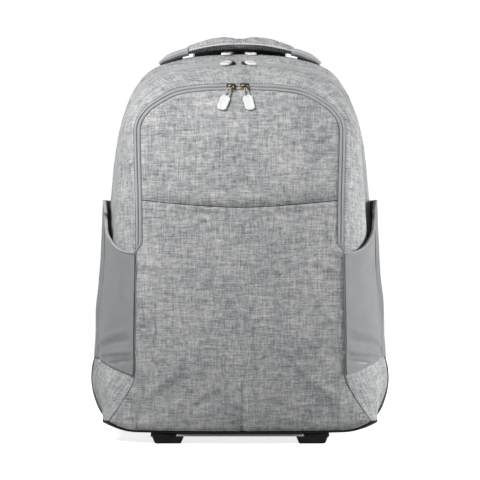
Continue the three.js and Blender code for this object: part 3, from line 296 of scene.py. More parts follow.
def plastic(name, dark, light, roughness, grain=900, depth=0.12, shine=0.5):
    """Moulded plastic with a fine grain, paler where it is rubbed."""
    material, tree, shader = new_material(name, roughness, Specular_IOR_Level=shine)
    at = object_place(tree)
    wear = remap(tree, noise(tree, at, (14, 14, 14), 4.0, 0.65), 0.3, 0.75)
    tree.links.new(mix(tree, wear, dark, light), shader.inputs["Base Color"])
    rough = remap(tree, noise(tree, at, (60, 60, 60), 3.0), 0.3, 0.7, roughness - 0.07, roughness + 0.1)
    tree.links.new(rough, shader.inputs["Roughness"])
    bump(tree, shader, noise(tree, at, (grain, grain, grain), 2.0), depth * MM, 0.6)
    return material


def metal(name, colour, roughness, brushed):
    """Metal with drawn lines along the piece, or cast metal where they run no further one way."""
    material, tree, shader = new_material(name, roughness, Metallic=1.0)
    at = object_place(tree)
    lines = noise(tree, at, brushed, 3.0, 0.6)
    dull = tuple(channel * 0.8 for channel in colour[:3]) + (1.0,)
    tree.links.new(mix(tree, remap(tree, lines, 0.35, 0.65), dull, colour), shader.inputs["Base Color"])
    rough = remap(tree, lines, 0.3, 0.7, roughness - 0.06, roughness + 0.1)
    tree.links.new(rough, shader.inputs["Roughness"])
    bump(tree, shader, lines, 0.00008, 0.5)
    return material


LOOKS = {
    "melange": (melange(), "melange"),
    "tape": (plain_cloth("zip_tape", linear(146, 148, 150), linear(160, 162, 163), 0.9, 0.15), "zip_tape"),
    "lycra": (plain_cloth("stretch_fabric", linear(112, 114, 116), linear(124, 125, 126), 0.7, 0.1,
                          roughness=0.7, slope=0.8, sheen=0.15), "stretch_fabric"),
    "mesh": (air_mesh(), "air_mesh"),
    "webbing": (plain_cloth("webbing", linear(140, 142, 145), linear(162, 164, 166), 1.6, 0.35), "webbing"),
    "thread": (plain_cloth("thread", linear(150, 152, 154), linear(176, 178, 180), 0.5, 0.1), "melange"),
    # partly painted shade: the dark seam thread stands both for the stitches' own thread and for the shade in
    # the seam valleys
    "seam": (plain_cloth("seam_thread_and_shade", linear(70, 72, 74), linear(96, 98, 100), 0.5, 0.1), "melange"),
    "piping": (plain_cloth("piping", linear(186, 189, 191), linear(202, 204, 205), 0.5, 0.1), "zip_tape"),
    # painted shade: a near-black cloth for sheets that stand for shade, in the slash pocket's mouth and under
    # the carry straps
    "painted_shade_cloth": (plain_cloth("painted_shade_cloth", linear(40, 41, 43), linear(54, 55, 57), 0.8, 0.1), "stretch_fabric"),
    "cord": (plain_cloth("pull_cord", linear(150, 152, 153), linear(186, 187, 187), 0.6, 0.3), "pull_rubber"),
    "black": (plastic("black_plastic", linear(12, 12, 13), linear(22, 23, 24), 0.7,
                      shine=0.12), "black_plastic"),
    "guard": (plastic("guard_plastic", linear(66, 68, 71), linear(82, 84, 87), 0.5), "guard_plastic"),
    "rail": (plastic("rail_plastic", linear(158, 160, 162), linear(174, 176, 178), 0.5), "rail_plastic"),
    # partly painted shade: the coil's dark grey also stands for the shade in the zip's slit
    "coil": (plastic("zip_coil_and_slit_shade", linear(88, 90, 93), linear(112, 114, 117), 0.42), "zip_tape"),
    "tab": (plastic("pull_rubber", linear(202, 203, 203), linear(214, 214, 213), 0.6, 500), "pull_rubber"),
    "rubber": (plastic("tyre_rubber", linear(26, 26, 28), linear(44, 44, 46), 0.82, 600, 0.2), "tyre_rubber"),
    "metal": (metal("tube_metal", linear(186, 189, 193), 0.32, (900, 900, 6)), "tube_metal"),
    "gunmetal": (metal("slider_metal", linear(112, 101, 84), 0.42, (260, 260, 260)), "slider_metal"),
}


# Meshes

def place(piece, look, nodes=(), body="bag"):
    material, slot = LOOKS[look]
    piece.data.materials.clear()
    piece.data.materials.append(material)
    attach(piece, body)
    if nodes:
        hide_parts(*nodes)
    return piece


def signed_volume(points, faces):
    a, b, c = (points[[face[k] for face in faces]] for k in range(3))
    volume = np.einsum("ij,ij->", a, np.cross(b, c))
    quads = [face for face in faces if len(face) == 4]
    if quads:
        a, b, c = (points[[face[k] for face in quads]] for k in (0, 2, 3))
        volume += np.einsum("ij,ij->", a, np.cross(b, c))
    return volume


def build(name, points, faces, weave=None, sharp=40.0, closed=True):
    """A mesh object in metres, its faces outward, with the cloth's own directions kept on its points."""
    points = np.asarray(points, float)
    faces = [tuple(int(k) for k in face) for face in faces]
    if closed and signed_volume(points, faces) < 0:
        faces = [face[::-1] for face in faces]
    mesh = bpy.data.meshes.new(name)
    mesh.from_pydata((points * MM).tolist(), [], faces)
    mesh.update()
    mesh.polygons.foreach_set("use_smooth", np.ones(len(mesh.polygons), bool))
    mesh.set_sharp_from_angle(angle=math.radians(sharp))
    if weave is not None:
        layer = mesh.attributes.new("weave", "FLOAT_VECTOR", "POINT")
        layer.data.foreach_set("vector", (np.asarray(weave, float) * MM).ravel())
    return add_object(name, mesh)


def grid_faces(rows, columns, start=0):
    i, j = np.meshgrid(np.arange(rows - 1), np.arange(columns - 1), indexing="ij")
    a = (i * columns + j).ravel() + start
    return np.stack([a, a + columns, a + columns + 1, a + 1], 1)


def sheet(name, outer, inner, weave, sharp=50.0):
    """A closed sheet between two matching grids of points."""
    rows, columns = outer.shape[:2]
    count = rows * columns
    grid = np.arange(count).reshape(rows, columns)
    loop = np.concatenate([grid[0, :-1], grid[:-1, -1], grid[-1, :0:-1], grid[:0:-1, 0]])
    following = np.roll(loop, -1)
    rim = np.stack([loop, following, following + count, loop + count], 1)
    front = grid_faces(rows, columns)
    faces = np.concatenate([front, front[:, ::-1] + count, rim])
    points = np.concatenate([outer.reshape(-1, 3), inner.reshape(-1, 3)])
    both = np.concatenate([weave.reshape(-1, 3)] * 2)
    return build(name, points, faces, both, sharp)


def rings_data(rings, closed_loop=False):
    """Points and faces of a tube through rings of points, capped unless its ends meet."""
    rings = np.asarray(rings, float)
    count, around = rings.shape[:2]
    spans = count if closed_loop else count - 1
    i, j = np.meshgrid(np.arange(spans), np.arange(around), indexing="ij")
    after, beside = (i + 1) % count, (j + 1) % around
    quads = np.stack([i * around + j, i * around + beside, after * around + beside, after * around + j], -1)
    faces = [tuple(face) for face in quads.reshape(-1, 4)]
    if not closed_loop:
        faces.append(tuple(range(around))[::-1])
        faces.append(tuple(range((count - 1) * around, count * around)))
    return rings.reshape(-1, 3), faces


def joined(parts):
    """Several point and face lists as one."""
    points, faces, start = [], [], 0
    for part_points, part_faces in parts:
        points.append(part_points)
        faces.extend(tuple(k + start for k in face) for face in part_faces)
        start += len(part_points)
    return np.concatenate(points), faces


def facing_out(part):
    points, faces = part
    return (points, [face[::-1] for face in faces]) if signed_volume(points, faces) < 0 else part


def path_frames(path, up):
    path = np.asarray(path, float)
    along = np.gradient(path, axis=0)
    along /= np.linalg.norm(along, axis=1, keepdims=True)
    side = np.cross(np.broadcast_to(up, path.shape), along)
    side /= np.linalg.norm(side, axis=1, keepdims=True)
    return along, side, np.cross(along, side)


def tube(path, radius, sides=8, flat=1.0, up=(0.0, 1.0, 0.0), closed_loop=False):
    """A round or flattened tube along a path."""
    path = np.asarray(path, float)
    if closed_loop:
        longer = np.concatenate([path[-1:], path, path[:1]])
        side, over = (part[1:-1] for part in path_frames(longer, up)[1:])
    else:
        side, over = path_frames(path, up)[1:]
    angle = np.linspace(0, 2 * math.pi, sides, endpoint=False)
    radius = np.broadcast_to(radius, (len(path),))[:, None, None]
    rings = path[:, None] + radius * (
        np.cos(angle)[None, :, None] * side[:, None] + flat * np.sin(angle)[None, :, None] * over[:, None])
    return facing_out(rings_data(rings, closed_loop))


def rounded(half_x, half_y, radius, per_corner=6):
    """A rounded rectangle's outline."""
    radius = max(min(radius, half_x, half_y), 0.05)
    turn = np.linspace(0, math.pi / 2, per_corner)
    corners = []
    for k, (sx, sy) in enumerate([(1, 1), (-1, 1), (-1, -1), (1, -1)]):
        angle = turn + k * math.pi / 2
        centre = np.array([sx * (half_x - radius), sy * (half_y - radius)])
        corners.append(centre + radius * np.stack([np.cos(angle), np.sin(angle)], 1))
    return np.concatenate(corners)


def ring_at(outline, x, y, z):
    """An outline laid level at a place."""
    return np.column_stack([outline + [x, y], np.full(len(outline), z)])


def stacked(half_x, half_y, radius, levels, per_corner=6):
    """A rounded slab: each level is an inset and a height."""
    rings = []
    for inset, high in levels:
        outline = rounded(half_x - inset, half_y - inset, radius - inset * 0.6, per_corner)
        rings.append(ring_at(outline, 0, 0, high))
    return facing_out(rings_data(rings))


def eased(low, high, edge, steps=3):
    """Levels of a slab with rounded edges."""
    turn = np.linspace(0, math.pi / 2, steps + 1)
    under = [(edge * (1 - math.sin(a)), low + edge * (1 - math.cos(a))) for a in turn]
    over = [(edge * (1 - math.cos(a)), high - edge * (1 - math.sin(a))) for a in turn]
    return under + over


def lathe(profile, segments, axis_x, y, z):
    """A turned piece about an axis along X. The profile closes on itself: (radius, x)."""
    profile = np.asarray(profile, float)
    angle = np.linspace(0, 2 * math.pi, segments, endpoint=False)
    rings = np.stack([
        np.broadcast_to(axis_x + profile[:, 1], (segments, len(profile))),
        y + np.cos(angle)[:, None] * profile[:, 0],
        z + np.sin(angle)[:, None] * profile[:, 0],
    ], -1)
    return facing_out(rings_data(rings, closed_loop=True))


def moved(part, matrix, shift):
    """Points turned by a matrix whose columns are the new X, Y and Z, then shifted."""
    points, faces = part
    return points @ np.asarray(matrix, float).T + np.asarray(shift, float), faces


def woven(along, across):
    """Cloth directions on a grid: how far along it and how far across it."""
    along, across = np.broadcast_arrays(along, across)
    return np.stack([along, across, np.zeros(along.shape)], -1)


def repeated(pattern, count, step):
    """The faces of one small piece, repeated for a row of them."""
    return [tuple(k + step * number for k in face) for number in range(count) for face in pattern]


def weave_round(points):
    """Cloth directions for a small round piece: along X and around it."""
    return np.column_stack([points[:, 0], points[:, 1] + points[:, 2], points[:, 2]])


# Curves, tables and the body's skin

def smooth(share):
    t = np.clip(share, 0.0, 1.0)
    return t * t * (3.0 - 2.0 * t)


def bell(distance, width):
    return np.exp(-(np.asarray(distance, float) / width) ** 2)


def sample_rows(keys, values, at):
    keys, values = np.asarray(keys, float), np.asarray(values, float)
    last = len(keys) - 1
    i = np.clip(np.searchsorted(keys, at), 1, last)

    def slope(k):
        above, below = np.minimum(k + 1, last), np.maximum(k - 1, 0)
        return (values[above] - values[below]) / (keys[above] - keys[below])

    span = keys[i] - keys[i - 1]
    t = np.clip((at - keys[i - 1]) / span, 0, 1)
    bend = t * (1 - t) * span * ((1 - t) * slope(i - 1) - t * slope(i))
    return values[i - 1] + (values[i] - values[i - 1]) * smooth(t) + bend


def arch(wide, high, half_width, crest):
    half = np.column_stack([-np.array(OUTLINE[wide]) * half_width, np.array(OUTLINE[high]) * crest])
    return np.concatenate([half, half[-2::-1] * [-1, 1]])


FRONT_ARCH = arch("front_wide", "front_high", FRONT_HALF_WIDTH, FRONT_CREST)
BODY_ARCH = arch("body_wide", "body_high", BODY_HALF_WIDTH, BODY_CREST)


def arch_at(points, row):
    row = np.clip(np.asarray(row, float), 0, LAST_ROW)
    i = np.minimum(row.astype(int), LAST_ROW - 1)
    t = (row - i)[..., None]
    before, here = points[np.maximum(i - 1, 0)], points[i]
    after, beyond = points[i + 1], points[np.minimum(i + 2, LAST_ROW)]
    leave, arrive = (after - before) / 2, (beyond - here) / 2
    cubic = 2 * here - 2 * after + leave + arrive
    square = -3 * here + 3 * after - 2 * leave - arrive
    return cubic * t ** 3 + square * t ** 2 + leave * t + here


def arch_inward(points, row):
    along = arch_at(points, row + 0.2) - arch_at(points, row - 0.2)
    along /= np.linalg.norm(along, axis=-1, keepdims=True)
    return np.stack([along[..., 1], -along[..., 0]], -1)


def arch_inset(points, row, inset):
    return arch_at(points, row) + arch_inward(points, row) * np.asarray(inset, float)[..., None]


def front_y(x, z):
    high = z / FRONT_CREST
    reach = sample_rows(PROFILE["high"], PROFILE["reach"], high) * FRONT_REACH
    fall = sample_rows(PROFILE["high"], PROFILE["fall"], high) * CORNER_DROP
    straight = slice(0, STRAIGHT_ROW + 1)
    half = sample_rows(OUTLINE["front_high"][straight], OUTLINE["front_wide"][straight], high)
    share = np.minimum(np.abs(x) / (half * FRONT_HALF_WIDTH), FALL_END_SHARE)
    return fall * share ** FALL_POWER - reach


def tape_width(row):
    from_base = np.minimum(row, LAST_ROW - row)
    return SEAM_BINDING + (FRONT_TAPE - SEAM_BINDING) * smooth((from_base - TAPE_END_ROW) / TAPE_END_BLEND)


def on_front(flat):
    return np.stack([flat[..., 0], front_y(flat[..., 0], flat[..., 1]), flat[..., 1]], -1)


def level(flat, y):
    return np.stack([flat[..., 0], np.full(flat.shape[:-1], float(y)), flat[..., 1]], -1)


def rear_outline(row, rise, inset, y):
    flat = arch_inset(BODY_ARCH, row, inset)
    lift = REAR_RISE * rise * np.maximum(flat[..., 1] / BODY_CREST, 0) ** RISE_POWER
    return level(np.stack([flat[..., 0] * REAR_NARROW, flat[..., 1] + lift], -1), y)


def stations(row):
    return np.stack([
        on_front(arch_inset(FRONT_ARCH, row, tape_width(row))),
        on_front(arch_at(FRONT_ARCH, row)),
        level(arch_inset(BODY_ARCH, row, MAIN_TAPE_FACE), MAIN_Y - MAIN_TAPE_DEEP),
        level(arch_at(BODY_ARCH, row), MAIN_Y),
        rear_outline(row, MIDDLE_RISE, 0.0, REAR_Y - REAR_TAPE),
        rear_outline(row, 1.0, 0.0, REAR_Y),
        rear_outline(row, BACK_RISE, BACK_INSET, BACK_Y),
    ], -2)


SKIN_BULGE = np.array([0.0, 7.0, 0.6, 2.5, 0.0, 2.0])
LAST_STATION = len(SKIN_BULGE)


def skin(row, w):
    """A point on the body's skin: row runs along the arch, w from the front face to the back."""
    row, w = np.broadcast_arrays(np.asarray(row, float), np.asarray(w, float))
    outlines = stations(row)
    strip = np.clip(np.floor(w).astype(int), 0, LAST_STATION - 1)
    v = (w - strip)[..., None]
    low = np.take_along_axis(outlines, strip[..., None, None], axis=-2)[..., 0, :]
    high = np.take_along_axis(outlines, strip[..., None, None] + 1, axis=-2)[..., 0, :]
    inward = arch_inward(BODY_ARCH, row)
    bulge = SKIN_BULGE[strip][..., None] * 4 * v * (1 - v)
    push = np.stack([-inward[..., 0], np.zeros(row.shape), -inward[..., 1]], -1)
    return low + (high - low) * v + push * bulge


def unit(vector):
    return vector / np.maximum(np.linalg.norm(vector, axis=-1, keepdims=True), 1e-9)


def skin_outward(row, w):
    row, w = np.broadcast_arrays(np.asarray(row, float), np.asarray(w, float))
    at = np.where(np.abs(w - np.round(w)) < 0.15, np.round(w), w)
    here = skin(row, at)
    along = skin(np.minimum(row + 0.15, LAST_ROW), at) - skin(np.maximum(row - 0.15, 0), at)
    ahead = unit(skin(row, np.minimum(at + 0.05, LAST_STATION)) - here)
    behind = unit(here - skin(row, np.maximum(at - 0.05, 0)))
    outward = np.cross(along, ahead * (at < LAST_STATION)[..., None] + behind * (at > 0)[..., None])
    at_base = (row < 0.05) | (row > LAST_ROW - 0.05)
    outward[..., 2] = np.where(at_base, 0.0, outward[..., 2])
    return np.where((at == 0)[..., None], np.array([0.0, -1.0, 0.0]), unit(outward))


def ripples(points, size, seed):
    """Gentle uneven waves through space, about one high."""
    rng = np.random.default_rng(seed)
    total = np.zeros(points.shape[:-1])
    for _ in range(7):
        direction = unit(rng.normal(size=3))
        wave = size * rng.uniform(0.7, 1.7)
        total += np.sin(points @ direction * 2 * math.pi / wave + rng.uniform(0, 2 * math.pi))
    return total / math.sqrt(7)


def crease(x, z, start, end, width):
    """One fold line in the front view: full in its middle and fading at both ends."""
    start, end = np.array(start, float), np.array(end, float)
    run = end - start
    length = np.linalg.norm(run)
    share = ((x - start[0]) * run[0] + (z - start[1]) * run[1]) / length ** 2
    off = ((x - start[0]) * -run[1] + (z - start[1]) * run[0]) / length
    fade = smooth(share / 0.3) * smooth((1 - share) / 0.3)
    return fade * bell(off, width)


def arc_length(points, axis):
    steps = np.linalg.norm(np.diff(points, axis=axis), axis=-1)
    start = np.zeros_like(np.take(steps, [0], axis=axis))
    return np.concatenate([start, np.cumsum(steps, axis=axis)], axis=axis)


# Sewn panels: cloth that dips and puckers where it is sewn and stands a little proud between

def sewn(points, edges, seed, puff=0.9, dip=1.1):
    """How far cloth stands off its CAD surface, from the distance to its nearest seam."""
    full = puff * (1 - bell(edges, 13.0)) - dip * bell(edges, 2.2)
    pucker = 0.28 * ripples(points, 9.0, seed) * bell(edges - 4, 6.0)
    return full + pucker + 0.35 * ripples(points, 70.0, seed + 1) * (1 - bell(edges, 16.0))


def skin_sheet(name, rows, w_from, w_to, steps, look, nodes, relief, seed):
    """A panel of the skin between two rows and two stations."""
    rows = np.asarray(rows, float)[:, None]
    w = np.linspace(w_from, w_to, steps + 1)[None, :]
    base = skin(rows, w)
    width = arc_length(base, 1)
    trim = SEAM / 2 / width[:, -1:] * (w_to - w_from)
    w = w_from + trim + (w - w_from) * (w_to - w_from - 2 * trim) / (w_to - w_from)
    base, outward = skin(rows, w), skin_outward(rows, w)
    width, along = arc_length(base, 1), arc_length(base, 0)
    middle = along[:, along.shape[1] // 2][:, None] + np.zeros_like(width)
    ends = np.minimum(middle, middle[-1] - middle)
    edges = np.minimum(np.minimum(width, width[:, -1:] - width), ends)
    lift = relief(base, edges, width, seed)
    outer = base + outward * lift[..., None]
    inner = base + outward * (np.minimum(lift, 0.0) - CLOTH)[..., None]
    return place(sheet(name, outer, inner, woven(middle, width)), look, nodes)


def gusset_relief(points, edges, width, seed):
    return sewn(points, edges, seed)


def tape_relief(points, edges, width, seed):
    """A tape: stitched down at both sides, with a narrow groove where the zip closes."""
    centre = width - width[:, -1:] / 2
    wide = smooth((width[:, -1:] - 4) / 2)
    groove = -1.3 * bell(centre, 0.75) + 0.35 * bell(np.abs(centre) - 1.7, 0.9)
    return -0.5 * bell(edges, 1.0) + groove * wide + 0.12 * ripples(points, 25.0, seed)


def side_relief(points, edges, width, seed):
    """The front gusset, with one slanting groove on its left and a raised welt between two on its right."""
    x, z = points[..., 0], points[..., 2]
    left = -2.0 * crease(x, z, (-146, 265), (-121, 248), 1.1)
    right = -2.0 * (crease(x, z, (122, 287), (142, 311), 0.9) + crease(x, z, (122, 280), (143, 307), 0.9))
    return sewn(points, edges, seed) + left + right + 1.0 * crease(x, z, (122, 283.5), (142, 309), 1.4)


def row_range(first, last, per_row=18):
    return np.linspace(first, last, int(round((last - first) * per_row)) + 1)


END_TRIM = 0.004
START = CORNER_ROW + SEAM / 50
skin_sheet("front_zip_tape", row_range(END_TRIM, LAST_ROW - END_TRIM, 24), 0, 1, 20, "tape",
           ["front_zip_tape"], tape_relief, 3)
for name, w, steps, look, relief, seed in (
        ("front_gusset", 1, 34, "melange", side_relief, 11),
        ("main_zip_tape", 2, 20, "tape", tape_relief, 5),
        ("rear_gusset", 3, 16, "melange", gusset_relief, 17),
        ("rear_zip_tape", 4, 20, "tape", tape_relief, 7)):
    skin_sheet(name, row_range(START, LAST_ROW - START), w, w + 1, steps, look, [name], relief, seed)

HOUSING_FRONT_Y = 28.0
corner_back = 3 + (HOUSING_FRONT_Y - MAIN_Y) / (REAR_Y - REAR_TAPE - MAIN_Y)
for name, first, last in (("base_corner_left", END_TRIM, START - 0.01),
                          ("base_corner_right", LAST_ROW - START + 0.01, LAST_ROW - END_TRIM)):
    skin_sheet(name, row_range(first, last), 1, corner_back, 46, "melange", [name], gusset_relief, 23)


# Back gusset, sunk round the trolley's collar

COLLAR_HALF_WIDTH = 68.0
COLLAR_DEPTH = 19.0
COLLAR_TOP = 458.0
COLLAR_HEIGHT = 13.0
TROLLEY_X = 50.0
TROLLEY_Y = 67.0


def back_gusset():
    """The strip behind the rear zip, sunk under the collar where the trolley comes out."""
    rows = row_range(START, LAST_ROW - START)[:, None]
    w = np.linspace(5.01, 5.99, 15)[None, :]
    base, outward = skin(rows, w), skin_outward(rows, w)
    width, along = arc_length(base, 1), arc_length(base, 0)
    middle = along[:, 7][:, None] + np.zeros_like(width)
    edges = np.minimum(width, width[:, -1:] - width)
    lift = sewn(base, edges, 29)
    beside = smooth((COLLAR_HALF_WIDTH + 6 - np.abs(base[..., 0])) / 5)
    between = smooth((COLLAR_DEPTH / 2 + 3.5 - np.abs(base[..., 1] - TROLLEY_Y)) / 2.5)
    up = smooth((base[..., 2] - 400) / 20)
    lift = lift - 14 * beside * between * up
    outer = base + outward * lift[..., None]
    inner = outer - outward * CLOTH
    place(sheet("back_gusset", outer, inner, woven(middle, width)), "melange", ["back_gusset"])


back_gusset()


# Front panels, and the slash pocket between them

def base_point(share, back):
    """The fabric's lower edge, low in the middle and rising to the corners."""
    share, back = np.broadcast_arrays(np.asarray(share, float), np.asarray(back, float))
    edge = skin(np.zeros(share.shape), 1 + back * (LAST_STATION - 1))
    ramp = np.maximum((np.abs(share) - BASE_LIFT_START) / (1 - BASE_LIFT_START), 0) ** BASE_LIFT_POWER
    z = BASE_Z + (edge[..., 2] - BASE_Z) * ramp
    x = np.abs(edge[..., 0]) * share
    y = edge[..., 1] + (front_y(x, z) - skin(0.0, 1.0)[1]) * (1 - back)
    return np.stack([x, y, z], -1)


def panel_edge(row):
    row = np.asarray(row, float)
    return arch_inset(FRONT_ARCH, row, tape_width(row) + SEAM)


def slash_curve(side, offset):
    end = panel_edge(SLASH_ROW)
    dip = SLASH_DIP * (1 - np.abs(side) ** SLASH_POWER)
    return np.stack([-end[0] * side, end[1] - dip + offset], -1)


def bottom_curve(side):
    edge = panel_edge(END_TRIM)
    corner = base_point(1.0, 0.0)[2]
    z = base_point(side, 0.0)[..., 2] + SEAM + (edge[1] - corner - SEAM) * np.abs(side) ** RISE_POWER
    return np.stack([-edge[0] * side, z], -1)


def top_curve(side):
    return panel_edge(CREST_ROW + side * (CREST_ROW - TOP_CORNER_ROW))


def patch(bottom, top, left):
    """A patch between four edges in the front view: up along its first axis, across along its second."""
    up = np.linspace(0, 1, len(left))[:, None, None]
    across = np.linspace(0, 1, len(bottom))[None, :, None]
    left = left.copy()
    left[0], left[-1] = bottom[0], top[0]
    right = left * [-1, 1]
    ruled = bottom[None] * (1 - up) + top[None] * up
    ruled = ruled + left[:, None] * (1 - across) + right[:, None] * across
    low = bottom[0] * (1 - across) + bottom[-1] * across
    high = top[0] * (1 - across) + top[-1] * across
    return ruled - (low * (1 - up) + high * up)


# Creases of the lower and upper front panels: from, to, width and height, seen from the front
LOWER_CREASES = [
    ((-134, 216), (-76, 200), 3.4, 2.0),
    ((-130, 203), (-92, 192), 2.8, -1.6),
    ((-128, 184), (-98, 150), 4.0, 1.4),
    ((-128, 168), (-92, 172), 4.0, 1.0),
    ((124, 198), (78, 212), 3.6, 1.8),
    ((122, 188), (92, 196), 2.8, -1.3),
    ((124, 150), (86, 140), 4.5, 1.2),
    ((-64, 38), (-18, 60), 5.0, -1.3),
    ((70, 32), (24, 54), 5.0, -1.3),
    ((-116, 48), (-66, 92), 6.0, 1.5),
    ((118, 46), (68, 88), 6.0, 1.5),
]
UPPER_CREASES = [
    ((-116, 302), (-56, 290), 3.8, 1.3),
    ((114, 308), (62, 294), 3.8, 1.3),
    ((-98, 398), (-66, 368), 5.0, 1.2),
    ((100, 396), (68, 366), 5.0, 1.2),
]


def front_panel(name, bottom, top, left_rows, creases, seed, shape):
    left = panel_edge(left_rows)
    flat = patch(bottom, top, left)
    x, z = flat[..., 0], flat[..., 1]
    side_gap = np.abs(np.abs(x) - np.abs(x[:, :1]))
    edges = np.minimum(side_gap, np.minimum(z - z[:1], z[-1:] - z))
    base = on_front(flat)
    lift = sewn(base, edges, seed, puff=0.8) + shape(x, z, z - z[:1], z[-1:] - z)
    for start, end, width, height in creases:
        lift = lift + height * crease(x, z, start, end, width)
    forward = np.array([0.0, 1.0, 0.0])
    outer = base - lift[..., None] * forward
    inner = base + (CLOTH - np.minimum(lift, 0))[..., None] * forward
    place(sheet(name, outer, inner, woven(x, z)), "melange", [name])


def open_slash(x):
    """How open the slash pocket is: widest over its middle."""
    return smooth((98 - np.abs(x - 14)) / 30)


def lower_shape(x, z, from_low, from_top):
    lip = (2.0 * bell(from_top - 2.5, 3.0) + 1.5 * bell(from_top, 2.4)) * open_slash(x)
    pleat = -2.2 * bell(x - 4, 2.4) * smooth((78 - z) / 10)
    beside = 0.7 * (bell(x + 2, 4) + bell(x - 10, 4)) * smooth((86 - z) / 20)
    return lip + pleat + beside


def upper_shape(x, z, from_low, from_top):
    return -2.4 * bell(from_low, 5.0) * open_slash(x)


SIDES = np.linspace(-1, 1, 101)
front_panel("front_panel_lower", bottom_curve(SIDES), slash_curve(SIDES, -0.7),
            np.linspace(END_TRIM, SLASH_ROW, 110), LOWER_CREASES, 31, lower_shape)
front_panel("front_panel_upper", slash_curve(SIDES, SEAM / 2), top_curve(SIDES),
            np.linspace(SLASH_ROW, TOP_CORNER_ROW, 62), UPPER_CREASES, 37, upper_shape)


def slash_shade_sheet():
    """A dark sheet behind the slash pocket's mouth: painted shade inside the slit."""
    side = np.linspace(-0.93, 0.93, 61)[None, :]
    up = np.linspace(-9, 7, 7)[:, None]
    flat = slash_curve(side + 0 * up, 0.0)
    flat[..., 1] += up
    base = on_front(flat)
    weave = woven(flat[..., 0], flat[..., 1])
    place(sheet("slash_shade_sheet", base + [0, 4.2, 0], base + [0, 5.0, 0], weave), "painted_shade_cloth")


slash_shade_sheet()


# Stretch pockets

POCKET_WALL = 1.3
POCKET_PUFF = 6.0
POCKET_GAPE = 3.4
POCKET_FRONT_ROW = 4.12
POCKET_RISE_ROWS = 1.05
POCKET_RISE_SPAN = 1.7
POCKET_FOOT_SHARE = 0.45
POCKET_GAPE_SHARE = 0.6
POCKET_CROWN_POWER = 0.8
POCKET_FRONT = 1.0
POCKET_BACK = 4.0


def pocket_place(w, t):
    mouth = POCKET_FRONT_ROW + POCKET_RISE_ROWS * smooth((w - POCKET_FRONT) / POCKET_RISE_SPAN)
    row = START + (mouth - START) * t
    share = (w - POCKET_FRONT) / (POCKET_BACK - POCKET_FRONT)
    across = np.maximum(np.sin(math.pi * share), 0) ** POCKET_CROWN_POWER
    puff = POCKET_PUFF + POCKET_GAPE * smooth((t - POCKET_GAPE_SHARE) / (1 - POCKET_GAPE_SHARE))
    stand = 2 * SEAM + puff * across * smooth(t / POCKET_FOOT_SHARE)
    return row, stand


def pocket_folds(w, t):
    """Folds that rise to the front seam from the foot, and long upright ones along the side."""
    fold = np.zeros(np.broadcast(w, t).shape)
    for w_from, t_from, w_to, t_to, wide, height in (
            (1.95, 0.02, 1.0, 0.29, 0.030, 2.6), (1.55, 0.0, 1.0, 0.18, 0.026, -2.2),
            (2.3, 0.05, 1.1, 0.46, 0.034, 1.9), (1.9, 0.14, 1.0, 0.40, 0.026, -1.6)):
        share = (w - w_from) / (w_to - w_from)
        off = t - t_from - (t_to - t_from) * share
        fold = fold + height * bell(off, wide) * smooth((share + 0.05) / 0.3) * smooth((1.12 - share) / 0.2)
    for middle, lean, wide, height in (
            (2.05, 0.25, 0.07, 1.0), (2.35, -0.1, 0.08, -0.9),
            (2.62, 0.12, 0.07, 1.1), (3.05, -0.2, 0.10, 0.9)):
        upright = bell(w - middle - lean * (t - 0.5), wide)
        fold = fold + height * upright * smooth((t - 0.12) / 0.3) * smooth((1.02 - t) / 0.35)
    return fold


def side_pocket(side):
    sign = SIGN[side]
    w = np.linspace(POCKET_FRONT, POCKET_BACK, 110)[None, :]
    t = np.linspace(0, 1, 90)[:, None]
    row, stand = pocket_place(w, t)
    w = w + 0 * t
    row_here = row if sign < 0 else LAST_ROW - row
    base, outward = skin(row_here, w), skin_outward(row_here, w)
    edge = np.minimum(t * 150, np.minimum(w - POCKET_FRONT, POCKET_BACK - w) * 60)
    inside = smooth(edge / 7)
    relief = (pocket_folds(w, t) + 0.25 * ripples(base, 26, 41)) * inside
    outer = base + outward * (stand + POCKET_WALL + relief)[..., None]
    inner = base + outward * (stand + relief * 0.6)[..., None]
    name = f"side_pocket_{side}"
    place(sheet(name, outer, inner, woven(arc_length(base, 1), arc_length(base, 0))), "lycra", [name])
    hem = tube((outer[-1] + inner[-1]) / 2, 1.9, 10, 0.55, up=(0.0, 0.0, 1.0))
    place(build(f"side_pocket_hem_{side}", *hem, weave_round(hem[0])), "tape")


for side in SIGN:
    side_pocket(side)


# Base: tray, rail and feet

BASE_WALL = 2.2
TRAY_GAP = 0.7
RAIL_HALF_WIDTH = 74.0
RAIL_HEIGHT = 3.2
RAIL_DEPTH = 9.0
RAIL_Y = -91.0
FOOT_INNER_X = 63.5
FOOT_OUTER_X = 103.5
FOOT_SLOPE = 5.0
FOOT_DEPTH = 34.0
FOOT_Y = -88.0
RAIL_TOP = BASE_Z - TRAY_GAP - BASE_WALL - SEAM
HOUSING_INNER_X = 108.0


def base_tray():
    """The black base: a shallow tray with a rounded rim along the front."""
    for name, shares, backs in (
        ("base_tray_front", np.linspace(-1, 1, 121), np.linspace(0, 0.615, 34)),
        ("base_tray_back", np.linspace(-0.625, 0.625, 61), np.linspace(0.617, 1, 22)),
    ):
        top = base_point(shares[:, None], backs[None, :]) - [0, 0, TRAY_GAP]
        rim = np.full(len(backs), 30.0)
        if name == "base_tray_front":
            rim = np.minimum(np.arange(len(backs)) * 4.0, rim)
        wall = BASE_WALL * (0.75 + 0.25 * smooth(rim / 6))[None, :, None]
        ribs = 0.5 * (np.cos(top[..., 0] / 6.0) > 0.6) * (rim > 12)[None, :]
        under = top - wall * [0, 0, 1] + ribs[..., None] * [0, 0, 1]
        place(sheet(name, top, under, woven(top[..., 0], top[..., 1])), "black", ["base_tray"])


base_tray()


